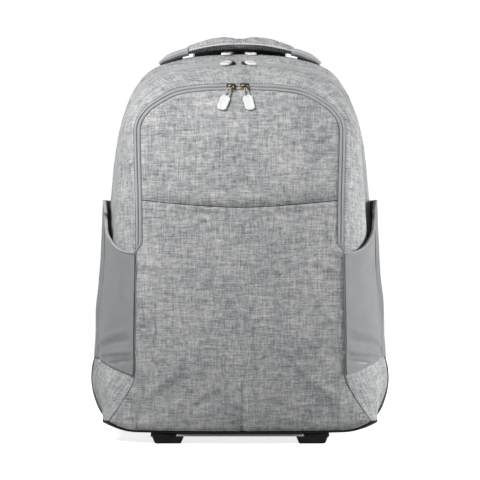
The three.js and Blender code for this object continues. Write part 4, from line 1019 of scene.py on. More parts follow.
def level_slab(half_x, half_y, radius, levels, centre, per_corner=6):
    """A rounded slab lying flat at a place."""
    return moved(stacked(half_x, half_y, radius, levels, per_corner), np.eye(3), centre)


rail = level_slab(RAIL_HALF_WIDTH, RAIL_DEPTH / 2, 2.2, eased(RAIL_TOP - RAIL_HEIGHT, RAIL_TOP, 1.0),
                  (0, RAIL_Y + RAIL_DEPTH / 2, 0))
place(build("base_rail", *rail), "rail", ["base_rail"])


def foot(side):
    """A trapezoid foot with a soft lower edge, joined to a neck and a cheek beside the rail."""
    sign = SIGN[side]
    levels = []
    for high, edge in ((0.0, 1.4), (0.5, 0.5), (1.6, 0.0), (RAIL_TOP - RAIL_HEIGHT - SEAM, 0.0)):
        levels.append((FOOT_SLOPE * (1 - high / RAIL_TOP) + edge, high))
    half = (FOOT_OUTER_X - FOOT_INNER_X) / 2
    centre = (sign * (FOOT_OUTER_X + FOOT_INNER_X) / 2, FOOT_Y + FOOT_DEPTH / 2, 0)
    main = level_slab(half, FOOT_DEPTH / 2 + 1.0, 4.0, levels, centre)
    neck_levels = eased(RAIL_TOP - RAIL_HEIGHT - SEAM - 0.4, RAIL_TOP, 0.2, 1)
    neck_y = (FOOT_Y + FOOT_DEPTH + RAIL_Y + RAIL_DEPTH + SEAM) / 2
    neck_half = (FOOT_Y + FOOT_DEPTH - RAIL_Y - RAIL_DEPTH - SEAM) / 2
    neck = level_slab(half - 0.5, neck_half, 3.0, neck_levels, (centre[0], neck_y, 0))
    outer_half = (FOOT_OUTER_X - RAIL_HALF_WIDTH - SEAM) / 2
    outer_x = sign * (FOOT_OUTER_X + RAIL_HALF_WIDTH + SEAM) / 2
    cheek = level_slab(outer_half - 0.2, FOOT_DEPTH / 2, 2.0, neck_levels, (outer_x, centre[1], 0))
    place(build(f"foot_{side}", *joined([main, neck, cheek])), "black", [f"foot_{side}"])


for side in SIGN:
    foot(side)


# Wheels and housings

WHEEL_RADIUS = 34.0
WHEEL_WIDTH = 26.0
WHEEL_INNER_X = 120.0
WHEEL_Y = 72.0
HUB_RADIUS = 21.0
AXLE_RADIUS = 4.0
AXLE_GAP = 0.35
WELL_GAP = 3.6
WHEEL_SIDE_GAP = 1.2
HOUSING_BASE_Z = 12.5
HOUSING_BACK_Y = 84.0
HOUSING_TOP = OUTLINE["body_high"][2] * BODY_CREST - 1.0
HOUSING_WIDE = [0.87, 0.955, 1.008, 1.03, 1.026, 1.008]
HOUSING_HIGH = [0.0, 0.14, 0.38, 0.62, 0.84, 1.0]


def tyre(side):
    """A tyre with a crowned tread, cut by slanting grooves and one round groove."""
    middle = (WHEEL_INNER_X + WHEEL_WIDTH / 2) * SIGN[side]
    half = WHEEL_WIDTH / 2
    across = np.linspace(-1, 1, 29)
    crown = WHEEL_RADIUS - 0.5 - 4.5 * np.abs(across) ** 5
    angle = np.linspace(0, 2 * math.pi, 144, endpoint=False)[:, None]
    slant = np.mod(angle * 18 / (2 * math.pi) + np.abs(across)[None, :] * 0.8, 1.0)
    grooves = bell((slant - 0.5) * 12, 1.1) * smooth((np.abs(across)[None, :] - 0.2) / 0.15)
    band = bell(across[None, :] * half, 1.1)
    tread = crown[None, :] + 0.5 * (np.abs(across) < 0.8) - 1.3 * np.maximum(grooves, band)
    tread = np.minimum(tread, WHEEL_RADIUS)
    inside = np.array([half, half - 1.4, half - 2, -half + 2, -half + 1.4, -half]) * 1.0
    inside_radius = np.array([27.0, 22.6, HUB_RADIUS + SEAM, HUB_RADIUS + SEAM, 22.6, 27.0])
    radius = np.concatenate([tread, np.broadcast_to(inside_radius, (len(angle), 6))], 1)
    x = np.concatenate([across * half, inside])
    rings = np.stack([
        middle + np.broadcast_to(x, radius.shape),
        WHEEL_Y + np.cos(angle) * radius,
        WHEEL_RADIUS + np.sin(angle) * radius,
    ], -1)
    part = facing_out(rings_data(rings, closed_loop=True))
    place(build(f"tyre_{side}", *part), "rubber", [f"tyre_{side}"], f"wheel_{side}")


def hub(side):
    """A hub of a rim, a boss and five pairs of spokes."""
    middle = (WHEEL_INNER_X + WHEEL_WIDTH / 2) * SIGN[side]
    half = WHEEL_WIDTH / 2
    rim = lathe([
        (17.6, -half + 3), (HUB_RADIUS - 0.6, -half + 2), (HUB_RADIUS, -half + 3), (HUB_RADIUS, half - 3),
        (HUB_RADIUS - 0.6, half - 2), (17.6, half - 3), (17.0, half - 5), (17.0, -half + 5),
    ], 72, middle, WHEEL_Y, WHEEL_RADIUS)
    bore = AXLE_RADIUS + AXLE_GAP
    boss = lathe([(bore, -half), (bore + 3.4, -half), (bore + 4, -half + 0.6), (bore + 4.6, -half + 5),
                  (bore + 4.6, half - 5), (bore + 4, half - 0.6), (bore + 3.4, half), (bore, half)],
                 40, middle, WHEEL_Y, WHEEL_RADIUS)
    spokes = []
    for k in range(10):
        angle = k * math.pi / 5
        outward = np.array([0.0, math.cos(angle), math.sin(angle)])
        around = np.array([0.0, -math.sin(angle), math.cos(angle)])
        matrix = np.column_stack([outward, around, [1.0, 0.0, 0.0]])
        bar = stacked(4.9, 1.5, 0.8, eased(-half + 6, half - 6, 0.8, 2), 3)
        spokes.append(moved(bar, matrix, np.array([middle, WHEEL_Y, WHEEL_RADIUS]) + outward * 12.9))
    parts = joined([rim, boss] + [facing_out(spoke) for spoke in spokes])
    place(build(f"hub_{side}", *parts), "guard", [f"hub_{side}"], f"wheel_{side}")


def cut_by(target, cutters):
    """The target with the cutters' shapes cut out of it."""
    for cutter in cutters:
        modifier = target.modifiers.new("cut", "BOOLEAN")
        modifier.operation = "DIFFERENCE"
        modifier.object = cutter
        modifier.solver = "EXACT"
    depsgraph = bpy.context.evaluated_depsgraph_get()
    mesh = bpy.data.meshes.new_from_object(target.evaluated_get(depsgraph))
    target.modifiers.clear()
    target.data = mesh
    mesh.polygons.foreach_set("use_smooth", np.ones(len(mesh.polygons), bool))
    mesh.set_sharp_from_angle(angle=math.radians(35))
    for cutter in cutters:
        bpy.data.objects.remove(cutter)


def housing(side):
    """A moulded guard round each wheel, with a rounded front edge and three raised ribs."""
    sign = SIGN[side]
    high = np.linspace(0, 1, 41)
    wide = sample_rows(HOUSING_HIGH, HOUSING_WIDE, high) * BODY_HALF_WIDTH
    tall = HOUSING_TOP - HOUSING_BASE_Z
    outline = np.concatenate([[[HOUSING_INNER_X, HOUSING_BASE_Z]],
                              np.column_stack([wide, HOUSING_BASE_Z + high * tall]),
                              [[HOUSING_INNER_X, HOUSING_TOP]]])
    centre = outline.mean(0)
    rings = []
    for inset, y in (
            (3.0, HOUSING_FRONT_Y + SEAM), (1.0, HOUSING_FRONT_Y + 1.0), (0.0, HOUSING_FRONT_Y + 3.0),
            (0.0, HOUSING_BACK_Y - 3.0), (0.8, HOUSING_BACK_Y - 0.8), (2.4, HOUSING_BACK_Y)):
        shrink = 1 - inset / np.array([35.0, 42.0])
        ring = centre + (outline - centre) * shrink
        rings.append(np.column_stack([ring[:, 0] * sign, np.full(len(ring), y), ring[:, 1]]))
    body = build(f"wheel_housing_{side}", *rings_data(rings))
    middle = sign * (WHEEL_INNER_X + WHEEL_WIDTH / 2)
    half = WHEEL_WIDTH / 2 + WHEEL_SIDE_GAP
    radius = WHEEL_RADIUS + WELL_GAP
    arc = np.linspace(0, math.pi, 37)
    side_view = [(WHEEL_Y + radius * math.cos(a), WHEEL_RADIUS + radius * math.sin(a)) for a in arc]
    side_view = [(WHEEL_Y + 60, -20), (WHEEL_Y + 60, WHEEL_RADIUS)] + side_view + [(WHEEL_Y - radius, -20)]
    rings = [[(middle + shift, y, z) for y, z in side_view] for shift in (-half, half)]
    well = build("well", *rings_data(rings))
    reach = half + 9 + SEAM
    wide_bore = AXLE_RADIUS + AXLE_GAP
    bore = lathe([(0.01, -60), (wide_bore, -60), (wide_bore, reach), (0.01, reach)],
                 28, 0, WHEEL_Y, WHEEL_RADIUS)
    bore = (bore[0] * [sign, 1, 1] + [middle, 0, 0], bore[1])
    cut_by(body, [well, build("bore", *facing_out(bore))])
    place(body, "guard", [f"wheel_housing_{side}"])
    ribs = []
    for k in range(3):
        z = HOUSING_BASE_Z + tall * (0.3 + 0.2 * k)
        level_share = np.array((z - HOUSING_BASE_Z) / tall)
        x = float(sample_rows(HOUSING_HIGH, HOUSING_WIDE, level_share)) * BODY_HALF_WIDTH
        path = [(sign * (x - 0.4), y, z) for y in np.linspace(HOUSING_FRONT_Y + 8, HOUSING_BACK_Y - 6, 12)]
        ends = np.sin(np.linspace(0, math.pi, 12)) ** 0.4 + 0.02
        ribs.append(tube(path, 1.5 * ends, 8, 1.0, up=(0.0, 0.0, 1.0)))
    place(build(f"housing_ribs_{side}", *joined(ribs)), "guard")


for side in SIGN:
    tyre(side)
    hub(side)
    housing(side)


# Trolley handle

TUBE_WIDTH = 22.0
TUBE_DEPTH = 14.0
TUBE_WALL = 1.2
TUBE_GAP = 0.4
GRIP_HALF_WIDTH = 56.0
GRIP_DEPTH = 17.0
GRIP_HEIGHT = 14.4
STAGE_LENGTH = 315.0


def trolley_tube(name, stage, z0, z1, sign, body):
    half_x = TUBE_WIDTH / 2 - stage * (TUBE_WALL + TUBE_GAP)
    half_y = TUBE_DEPTH / 2 - stage * (TUBE_WALL + TUBE_GAP)
    outside = rounded(half_x, half_y, 3.2, 8)
    inside = rounded(half_x - TUBE_WALL, half_y - TUBE_WALL, 2.0, 8)
    rings = []
    for outline, z in (
            (outside * 0.985, z0), (outside, z0 + 0.5), (outside, z1 - 0.5), (outside * 0.985, z1),
            (inside, z1), (inside, z0)):
        rings.append(ring_at(outline, sign * TROLLEY_X, TROLLEY_Y, z))
    part = facing_out(rings_data(rings, closed_loop=True))
    place(build(name, *part), "metal", [name], body)


TUBES = [
    ("outer", BASE_Z + SEAM, COLLAR_TOP - COLLAR_HEIGHT - SEAM, "bag"),
    ("middle", COLLAR_TOP - STAGE_LENGTH, COLLAR_TOP - SEAM, "trolley_stage"),
    ("inner", COLLAR_TOP - STAGE_LENGTH + SEAM, COLLAR_TOP + SEAM + 8, "trolley_top"),
]
for side, sign in SIGN.items():
    for stage, (kind, z0, z1, body) in enumerate(TUBES):
        trolley_tube(f"trolley_{kind}_{side}", stage, z0, z1, sign, body)


def collar():
    """The black collar in the bag's top, with a raised lip round both tubes."""
    blank = level_slab(COLLAR_HALF_WIDTH, COLLAR_DEPTH / 2, 6.0,
                       eased(COLLAR_TOP - COLLAR_HEIGHT, COLLAR_TOP - 1.2, 1.6), (0, TROLLEY_Y, 0), 8)
    body = build("trolley_collar", *blank)
    cutters, lips = [], []
    half_x = TUBE_WIDTH / 2 - TUBE_WALL
    half_y = TUBE_DEPTH / 2 - TUBE_WALL
    for sign in (-1, 1):
        hole = stacked(half_x, half_y, 3.0, [(0, 400), (0, 500)], 6)
        cutters.append(build("hole", *moved(hole, np.eye(3), (sign * TROLLEY_X, TROLLEY_Y, 0))))
        rings = []
        for grow, z in ((0, COLLAR_TOP - 2), (0, COLLAR_TOP), (1.0, COLLAR_TOP), (1.6, COLLAR_TOP - 0.6),
                        (1.8, COLLAR_TOP - 2)):
            outline = rounded(half_x + grow, half_y + grow, 3.0 + grow, 8)
            rings.append(ring_at(outline, sign * TROLLEY_X, TROLLEY_Y, z))
        lips.append(facing_out(rings_data(rings, closed_loop=True)))
    cut_by(body, cutters)
    place(body, "black", ["trolley_collar"])
    place(build("trolley_collar_lips", *joined(lips)), "black")


collar()


def trolley_grip():
    """The grip: a soft bar with finger grooves on its back and a sunk place for the button."""
    low = COLLAR_TOP + SEAM
    high = low + GRIP_HEIGHT
    along = np.linspace(-1, 1, 97)
    rings = []
    for share in along:
        x = share * GRIP_HALF_WIDTH
        end = (1 - np.abs(share) ** 14) ** 0.5 if abs(share) < 1 else 0.02
        groove = 0.45 * (0.5 - 0.5 * math.cos(x / 6.5 * 2 * math.pi)) * (abs(x) < 40)
        half_y = (GRIP_DEPTH / 2 - groove) * (0.75 + 0.25 * end)
        half_z = GRIP_HEIGHT / 2 * (0.75 + 0.25 * end)
        outline = rounded(half_y, half_z, 5.5, 7)
        sunk = (abs(x) < 13.5) * 1.3
        z = (low + high) / 2 + np.minimum(outline[:, 1], half_z - sunk)
        rings.append(np.column_stack([np.full(len(outline), x), outline[:, 0] + TROLLEY_Y, z]))
    part = facing_out(rings_data(rings))
    place(build("trolley_grip", *part), "black", ["trolley_grip"], "trolley_top")
    button = level_slab(11, 4, 2.5, eased(high - 4.2, high + 1.3, 0.9), (0, TROLLEY_Y, 0))
    place(build("trolley_button", *button), "guard", ["trolley_button"], "lock_button")


trolley_grip()


# Cloth that is sewn down along lines and blown up between them

def inflate(piece, pins, pressure, cap, grow):
    """Cloth simulation: pinned points stay, the rest swells up to the cap and wrinkles."""
    scene = bpy.context.scene
    group = piece.vertex_groups.new(name="sewn")
    group.add([int(k) for k in pins], 1.0, "REPLACE")
    modifier = piece.modifiers.new("inflate", "CLOTH")
    settings = modifier.settings
    settings.quality = 6
    settings.mass = 0.2
    settings.vertex_group_mass = "sewn"
    settings.use_pressure = True
    settings.uniform_pressure_force = pressure
    settings.shrink_min = -grow
    settings.effector_weights.gravity = 0
    modifier.point_cache.frame_start = 1
    modifier.point_cache.frame_end = 20
    for number in range(1, 21):
        scene.frame_set(number)
    evaluated = piece.evaluated_get(bpy.context.evaluated_depsgraph_get()).data
    after = np.empty(len(evaluated.vertices) * 3)
    before = np.empty_like(after)
    evaluated.vertices.foreach_get("co", after)
    piece.data.vertices.foreach_get("co", before)
    move = (after - before).reshape(-1, 3)
    far = np.linalg.norm(move, axis=1, keepdims=True)
    move *= np.minimum(1.0, cap * MM / np.maximum(far, 1e-9))
    piece.modifiers.remove(modifier)
    piece.vertex_groups.clear()
    piece.data.vertices.foreach_set("co", (before.reshape(-1, 3) + move).ravel())
    piece.data.update()
    scene.frame_set(1)


def subdivide(piece):
    modifier = piece.modifiers.new("fine", "SUBSURF")
    modifier.levels = 1
    modifier.render_levels = 1


# Back: quilted mesh panel, and a plain lower panel between the wheels

PANEL_LOW = 98.0


def back_panel():
    rows = np.linspace(0, CREST_ROW, 800)
    edge_z = skin(rows, LAST_STATION)[:, 2]
    low_row = float(np.interp(PANEL_LOW, edge_z, rows))
    corner_row = 8.2
    left = skin(np.linspace(low_row, corner_row, 73), LAST_STATION)[:, [0, 2]]
    top = skin(np.linspace(corner_row, LAST_ROW - corner_row, 69), LAST_STATION)[:, [0, 2]]
    bottom = np.column_stack([np.linspace(left[0, 0], -left[0, 0], 69), np.full(69, PANEL_LOW)])
    flat = patch(bottom, top, left)
    rows_up, columns = flat.shape[:2]
    i, j = np.meshgrid(np.arange(rows_up), np.arange(columns), indexing="ij")
    seam_rows = [0, 16, 36, 56, rows_up - 1]
    seam_columns = [0, 5, 29, 39, columns - 6, columns - 1]
    to_row = np.min([np.abs(i - k) for k in seam_rows], axis=0)
    to_column = np.min([np.abs(j - k) for k in seam_columns], axis=0)
    pads = smooth(to_row / 4) * smooth(to_column / 3.5)
    middle = (j > 29) & (j < 39)
    edge_strip = (j < 5) | (j > columns - 6)
    crown = np.where(middle, 0.6, np.where(edge_strip, 1.6, 3.0))
    from_side = np.minimum(np.minimum(j, columns - 1 - j), 5)
    y = BACK_Y + 2.6 + 2.0 * smooth(from_side / 5) + crown * pads
    outer = np.stack([flat[..., 0], y, flat[..., 1]], -1)
    inner = level(flat, BACK_Y + SEAM)
    piece = sheet("back_panel", outer, inner, woven(flat[..., 0], flat[..., 1]), 70)
    place(piece, "mesh", ["back_panel"])
    pinned = np.flatnonzero(((to_row == 0) | (to_column == 0)).ravel())
    inner_points = np.arange(i.size, 2 * i.size)
    inflate(piece, np.concatenate([pinned, inner_points]), 3.0, 2.2, 0.025)
    subdivide(piece)


def lower_back():
    """The plain panel between the wheel housings."""
    z = np.linspace(BASE_Z + SEAM, PANEL_LOW - 1, 34)[:, None]
    x = np.linspace(-1, 1, 71)[None, :] * (HOUSING_INNER_X - 1.0)
    x, z = np.broadcast_arrays(x, z)
    edges = np.minimum(HOUSING_INNER_X - 1 - np.abs(x), np.minimum(z - BASE_Z, PANEL_LOW - 1 - z))
    y = BACK_Y + 1.2 + 2.6 * smooth(edges / 9) + 0.25 * ripples(np.stack([x, 0 * x, z], -1), 40, 53)
    outer = np.stack([x, y, z], -1)
    inner = np.stack([x, 0 * x + BACK_Y + SEAM, z], -1)
    place(sheet("lower_back", outer, inner, woven(x, z)), "melange", ["back_panel"])


back_panel()
lower_back()


# Shoulder straps, buckles and lower webbing

BACK_FACE = BACK_Y + SEAM + 9.0
STRAP_WALL = 11.0
STRAP_WIDTH = 64.0
STRAP_OFF = 5.2
STRAP = {
    "out": [share * BODY_HALF_WIDTH for share in (0.205, 0.239, 0.296, 0.365, 0.427, 0.467, 0.484)],
    "high": [share * BODY_CREST for share in (0.974, 0.89, 0.779, 0.667, 0.556, 0.456, 0.4)],
    "off": [share * STRAP_OFF for share in (0.38, 0.77, 1, 0.96, 0.77, 0.38, 0.19)],
    "wide": [share * STRAP_WIDTH for share in (0.91, 0.97, 1, 0.94, 0.81, 0.66, 0.53)],
}
ANCHOR_INSET = 47.5
ANCHOR_HIGH = 104.0


def strap_line(t):
    """The strap's middle line, its direction and its width at shares of its length."""
    keys = np.linspace(0, 1, len(STRAP["out"]))
    out, high = sample_rows(keys, STRAP["out"], t), sample_rows(keys, STRAP["high"], t)
    y = BACK_FACE + STRAP_WALL / 2 + sample_rows(keys, STRAP["off"], t)
    middle = np.stack([out, y, high], -1)
    return middle, unit(np.gradient(middle, axis=0)), np.interp(t, keys, STRAP["wide"])


def shoulder_strap(side):
    """A padded strap: mesh against the back, sewn along both edges, with a bound edge."""
    sign = SIGN[side]
    t = np.linspace(0, 1, 70)
    middle, along, width = strap_line(t)
    across = unit(np.stack([-along[:, 2], 0 * t, along[:, 0]], -1))
    around = 32
    angle = np.linspace(0, 2 * math.pi, around, endpoint=False)
    reach = np.sign(np.cos(angle)) * np.abs(np.cos(angle)) ** 0.55
    deep = np.sign(np.sin(angle)) * np.abs(np.sin(angle)) ** 0.8
    ends = np.minimum(1.0, 0.35 + np.sin(np.clip(t, 0, 1) * math.pi) * 6)[:, None, None]
    rings = middle[:, None] + reach[None, :, None] * across[:, None] * (width[:, None, None] / 2)
    rings = rings + deep[None, :, None] * np.array([0, STRAP_WALL / 2 - 1.2, 0]) * ends
    rings[..., 0] *= sign
    points, faces = facing_out(rings_data(rings))
    weave = np.stack([
        np.broadcast_to(reach * 30, rings.shape[:2]), np.broadcast_to(t[:, None] * 280, rings.shape[:2]),
        np.broadcast_to(deep * 6, rings.shape[:2]),
    ], -1).reshape(-1, 3)
    name = f"shoulder_strap_{side}"
    piece = place(build(name, points, faces, weave, 80), "mesh", [name])
    index = np.arange(len(points)).reshape(rings.shape[:2])
    pins = np.concatenate([index[:, 0], index[:, around // 2], index[0], index[-1]])
    inflate(piece, pins, 2.5, 1.4, 0.02)
    subdivide(piece)
    edge = []
    for reach_side in (-1, 1):
        path = middle + across * (width[:, None] / 2) * reach_side
        path = path * [sign, 1, 1]
        edge.append(tube(path, 1.9, 10, 1.25, up=(0.0, 1.0, 0.0)))
    binding = joined(edge)
    place(build(f"strap_binding_{side}", *binding, weave_round(binding[0])), "tape")


WEBBING_WIDTH = 24.0
WEBBING_WALL = 1.8
BUCKLE_HEIGHT = 26.0


def ribbon(name, path, width, wall, across, look, nodes=(), body="bag"):
    """A flat woven strap along a path, with soft edges."""
    path = np.asarray(path, float)
    along = unit(np.gradient(path, axis=0))
    across = unit(across - along * np.sum(across * along, axis=1, keepdims=True))
    through = np.cross(along, across)
    wall = np.broadcast_to(wall, (len(path),))
    outline = rounded(width / 2, wall[0] / 2, wall[0] / 2, 4)
    thin = (wall / wall[0])[:, None, None]
    rings = path[:, None] + outline[None, :, :1] * across[:, None]
    rings = rings + outline[None, :, 1:] * thin * through[:, None]
    points, faces = facing_out(rings_data(rings))
    run = arc_length(path, 0)
    weave = np.stack([
        np.broadcast_to(run[:, None], rings.shape[:2]), np.broadcast_to(outline[:, 0], rings.shape[:2]),
        np.broadcast_to(outline[:, 1], rings.shape[:2]),
    ], -1).reshape(-1, 3)
    return place(build(name, points, faces, weave), look, nodes, body)


def strap_end(side):
    """The ladder buckle under the strap, and the webbing from it to the bag's side."""
    sign = SIGN[side]
    start = np.array([STRAP["out"][-1], STRAP["high"][-1]], float)
    anchor = np.array([BODY_HALF_WIDTH - ANCHOR_INSET, ANCHOR_HIGH])
    run = np.linalg.norm(anchor - start)
    along = (anchor - start) / run
    down = np.array([along[0] * sign, 0.0, along[1]])
    across = np.cross(down, [0.0, 1.0, 0.0])
    centre = start + along * (BUCKLE_HEIGHT / 2 + SEAM + 6)
    at = np.array([centre[0] * sign, BACK_FACE + 0.5 + 2.0, centre[1]])
    bars = []
    for shift, half_wide, half_tall in ((-10.5, 18, 2.4), (0, 16, 2.2), (10.5, 18, 2.4)):
        bar = stacked(half_wide, half_tall, 1.6, eased(-1.9, 1.9, 0.8, 2), 4)
        bars.append(moved(bar, np.column_stack([across, down, [0, 1, 0]]), at + down * shift))
    for shift in (-16.0, 16.0):
        bar = stacked(2.2, 12.9, 1.6, eased(-1.9, 1.9, 0.8, 2), 4)
        bars.append(moved(bar, np.column_stack([across, down, [0, 1, 0]]), at + across * shift))
    buckle = joined([facing_out(bar) for bar in bars])
    place(build(f"strap_buckle_{side}", *buckle), "black", [f"strap_buckle_{side}"])
    distance = np.linspace(BUCKLE_HEIGHT / 2 + 8, run, 30)
    over = 1.6 * bell(distance - BUCKLE_HEIGHT / 2 - 8, 5)
    path = np.column_stack([
        (start[0] + along[0] * distance) * sign, BACK_FACE + 1.4 + over, start[1] + along[1] * distance])
    facing = np.broadcast_to(across, path.shape)
    ribbon(f"strap_webbing_{side}", path, WEBBING_WIDTH, WEBBING_WALL, facing, "webbing",
           [f"strap_webbing_{side}"])


for side in SIGN:
    shoulder_strap(side)
    strap_end(side)


# Carry handle: a padded roll, melange above and mesh below, piping between, webbing at both ends

CARRY_Y = 33.0
CARRY_HALF_LENGTH = 66.0
CARRY_MID_Z = 474.5
CARRY_END_DROP = 9.5
CARRY_HALF_HEIGHT = 9.0
CARRY_HALF_DEPTH = 12.0
CARRY_END_SHARE = 0.6
CARRY_STRAP_WIDTH = 24.0
CARRY_STRAP_WALL = 6.0
CARRY_STRAP_FOOT_WALL = 2.4
CARRY_STRAP_BOW = 3.4
CARRY_STRAP_FOLD = 2.2
CARRY_FOOT_ROW = 10.18
CARRY_FOOT_W = 3.82


def carry_middle(share):
    drop = CARRY_END_DROP * np.abs(share) ** 2.2
    return np.stack([CARRY_HALF_LENGTH * share, CARRY_Y + 0 * share, CARRY_MID_Z - drop], -1)


def carry_half(name, first, last, look):
    """Half of the roll's skin, from one piping line over to the other."""
    share = np.linspace(-1, 1, 67)
    middle = carry_middle(share)
    taper = 1 - (1 - CARRY_END_SHARE) * np.abs(share) ** 4
    angle = np.linspace(math.radians(first), math.radians(last), 21)
    depth = np.cos(angle)[None, :] * (CARRY_HALF_DEPTH - 0.8) * taper[:, None]
    height = np.sin(angle)[None, :] * (CARRY_HALF_HEIGHT - 1.4) * taper[:, None]
    outer = middle[:, None] + np.stack([0 * depth, depth, height], -1)
    inner = middle[:, None] + np.stack([0 * depth, depth * 0.8, height * 0.8], -1)
    weave = woven(middle[:, None, 0], angle[None, :] * 11)
    piece = place(sheet(name, outer, inner, weave, 80), look, ["carry_grip"])
    index = np.arange(share.size * angle.size).reshape(share.size, angle.size)
    pins = np.concatenate([index[:, 0], index[:, -1], index[0], index[-1]])
    inflate(piece, np.concatenate([pins, np.arange(index.size, 2 * index.size)]), 3.0, 1.5, 0.03)
    subdivide(piece)
    return outer


carry_top = carry_half("carry_grip_top", -8, 188, "melange")
carry_half("carry_grip_under", 190, 350, "mesh")
pipes = joined([tube(carry_top[:, k] + [0, sign * 0.5, 0], 0.9, 8) for k, sign in ((0, 1), (-1, -1))])
place(build("carry_grip_piping", *pipes, weave_round(pipes[0])), "piping")


def carry_strap(side):
    """The webbing end of the carry handle, folded thick at the roll and thin where it is sewn down, with a
    dark sheet under it as painted shade.
    """
    sign = SIGN[side]
    end = carry_middle(np.array(1.0))
    foot_row = LAST_ROW - CARRY_FOOT_ROW
    foot_out = skin_outward(foot_row, CARRY_FOOT_W)
    foot_at = skin(foot_row, CARRY_FOOT_W) + foot_out * (CARRY_STRAP_FOOT_WALL / 2 + 2 * SEAM)
    head = np.array([end[0] - 3.0, CARRY_Y, end[2]])
    foot = np.array([foot_at[0], CARRY_Y, foot_at[2]])
    bow = (head + foot) / 2 + [CARRY_STRAP_BOW, 0, CARRY_STRAP_BOW]
    t = np.linspace(0, 1, 36)
    wall = CARRY_STRAP_WALL + CARRY_STRAP_FOLD
    wall = wall + (CARRY_STRAP_FOOT_WALL - CARRY_STRAP_WALL) * smooth(2 * t - 1)
    t = t[:, None]
    path = ((1 - t) ** 2 * head + 2 * t * (1 - t) * bow + t ** 2 * foot) * [sign, 1, 1]
    facing = np.broadcast_to(np.array([0.0, 1.0, 0.0]), path.shape)
    ribbon(f"carry_strap_{side}", path, CARRY_STRAP_WIDTH, wall, facing, "webbing", [f"carry_strap_{side}"])
    # painted shade: a dark sheet under the strap stands for the shade between the strap and the bag
    under = path[8:30] - np.array([sign * 2.2, 0.0, 4.2])
    ribbon(f"carry_strap_shade_sheet_{side}", under, CARRY_STRAP_WIDTH - 4, 2.4, facing[8:30], "painted_shade_cloth")


for side in SIGN:
    carry_strap(side)


# Zips: coils, sliders and pulls

COIL_PITCH = 1.7


def laid_along(w, first, last, pitch):
    """Places at an even pitch along one station, with the directions outward, along and across."""
    rows = np.linspace(first, last, 4000)
    run = arc_length(skin(rows, w), 0)
    row = np.interp(np.arange(0, run[-1], pitch), run, rows)
    out = skin_outward(row, w)
    along = unit(skin(row + 0.02, w) - skin(row - 0.02, w))
    return skin(row, w), out, along, np.cross(out, along)


def coil(name, w, first, last):
    """The zip's coil: small bars laid across the middle of the tape, in dark grey that is partly the coil's
    own colour and partly painted shade of the closed zip's slit.
    """
    at, out, along, across = laid_along(w, first, last, COIL_PITCH)
    bar = np.array([(a, c, h) for a in (-0.5, 0.5) for c, h in
                    ((-0.8, -1.5), (-0.5, -1.0), (0, -0.8), (0.5, -1.0), (0.8, -1.5))])
    points = at[:, None] + bar[None, :, :1] * along[:, None] * (COIL_PITCH * 0.62)
    points = points + bar[None, :, 1:2] * across[:, None] + (bar[None, :, 2:] + 0.1) * out[:, None]
    quads = [(k, k + 1, k + 6, k + 5) for k in range(4)] + [(4, 0, 5, 9)]
    caps = [(4, 3, 2, 1, 0), (5, 6, 7, 8, 9)]
    place(build(name, points.reshape(-1, 3), repeated(quads + caps, len(at), len(bar))), "coil")


coil("front_zip_coil", 0.5, TAPE_END_ROW + 0.2, LAST_ROW - TAPE_END_ROW - 0.2)
coil("main_zip_coil", 2.5, 2.2, LAST_ROW - 2.2)
coil("rear_zip_coil", 4.5, 2.2, LAST_ROW - 2.2)


def stitches(name, w, first, last, look, length=2.2, gap=1.0, radius=0.4):
    """A row of thread stitches lying on the skin along one station."""
    at, out, along, across = laid_along(w, first, last, length + gap)
    rings = []
    for share, lift, size in ((-0.5, -0.3, 0.4), (-0.3, 0.1, 1.0), (0.3, 0.1, 1.0), (0.5, -0.3, 0.4)):
        for angle in np.radians([90, 210, 330]):
            off = (math.cos(angle) * across * size + (math.sin(angle) * size) * out) * radius
            rings.append(at + along * share * length + out * lift + off)
    points = np.stack(rings, 1)
    pattern = [(3 * k + a, 3 * k + (a + 1) % 3, 3 * k + 3 + (a + 1) % 3, 3 * k + 3 + a)
               for k in range(3) for a in range(3)] + [(2, 1, 0), (9, 10, 11)]
    flat = points.reshape(-1, 3)
    place(build(name, flat, repeated(pattern, len(at), len(rings)), weave_round(flat)), look)


# the stitches given the dark seam thread are partly thread colour and partly painted shade of the seam valley
for name, w, first, look in (
        ("front_tape_stitches_inner", 0.1, 4.4, "thread"), ("front_tape_stitches_outer", 0.97, 4.2, "seam"),
        ("main_tape_stitches_front", 2.06, 2.2, "seam"), ("main_tape_stitches_back", 2.88, 2.2, "thread"),
        ("rear_tape_stitches_front", 4.08, 2.2, "thread"), ("rear_tape_stitches_back", 4.9, 2.2, "thread")):
    stitches(name, w, first, LAST_ROW - first, look)
stitches("pocket_seam_stitches", 1.0, 2.2, 4.2, "seam")
stitches("pocket_seam_stitches_right", 1.0, LAST_ROW - 4.2, LAST_ROW - 2.2, "seam")

SLIDER_LENGTH = 11.0
SLIDER_WIDTH = 7.5
SLIDER_HEIGHT = 3.2
TAB_WIDTH = 11.6
TAB_LENGTH = 19.5
TAB_WALL = 3.0
LOOP_RADIUS = 0.8
LOOP_SPREAD = 2.6
PULL_LIFT = 0.6
TAB_RAISE = 3.0
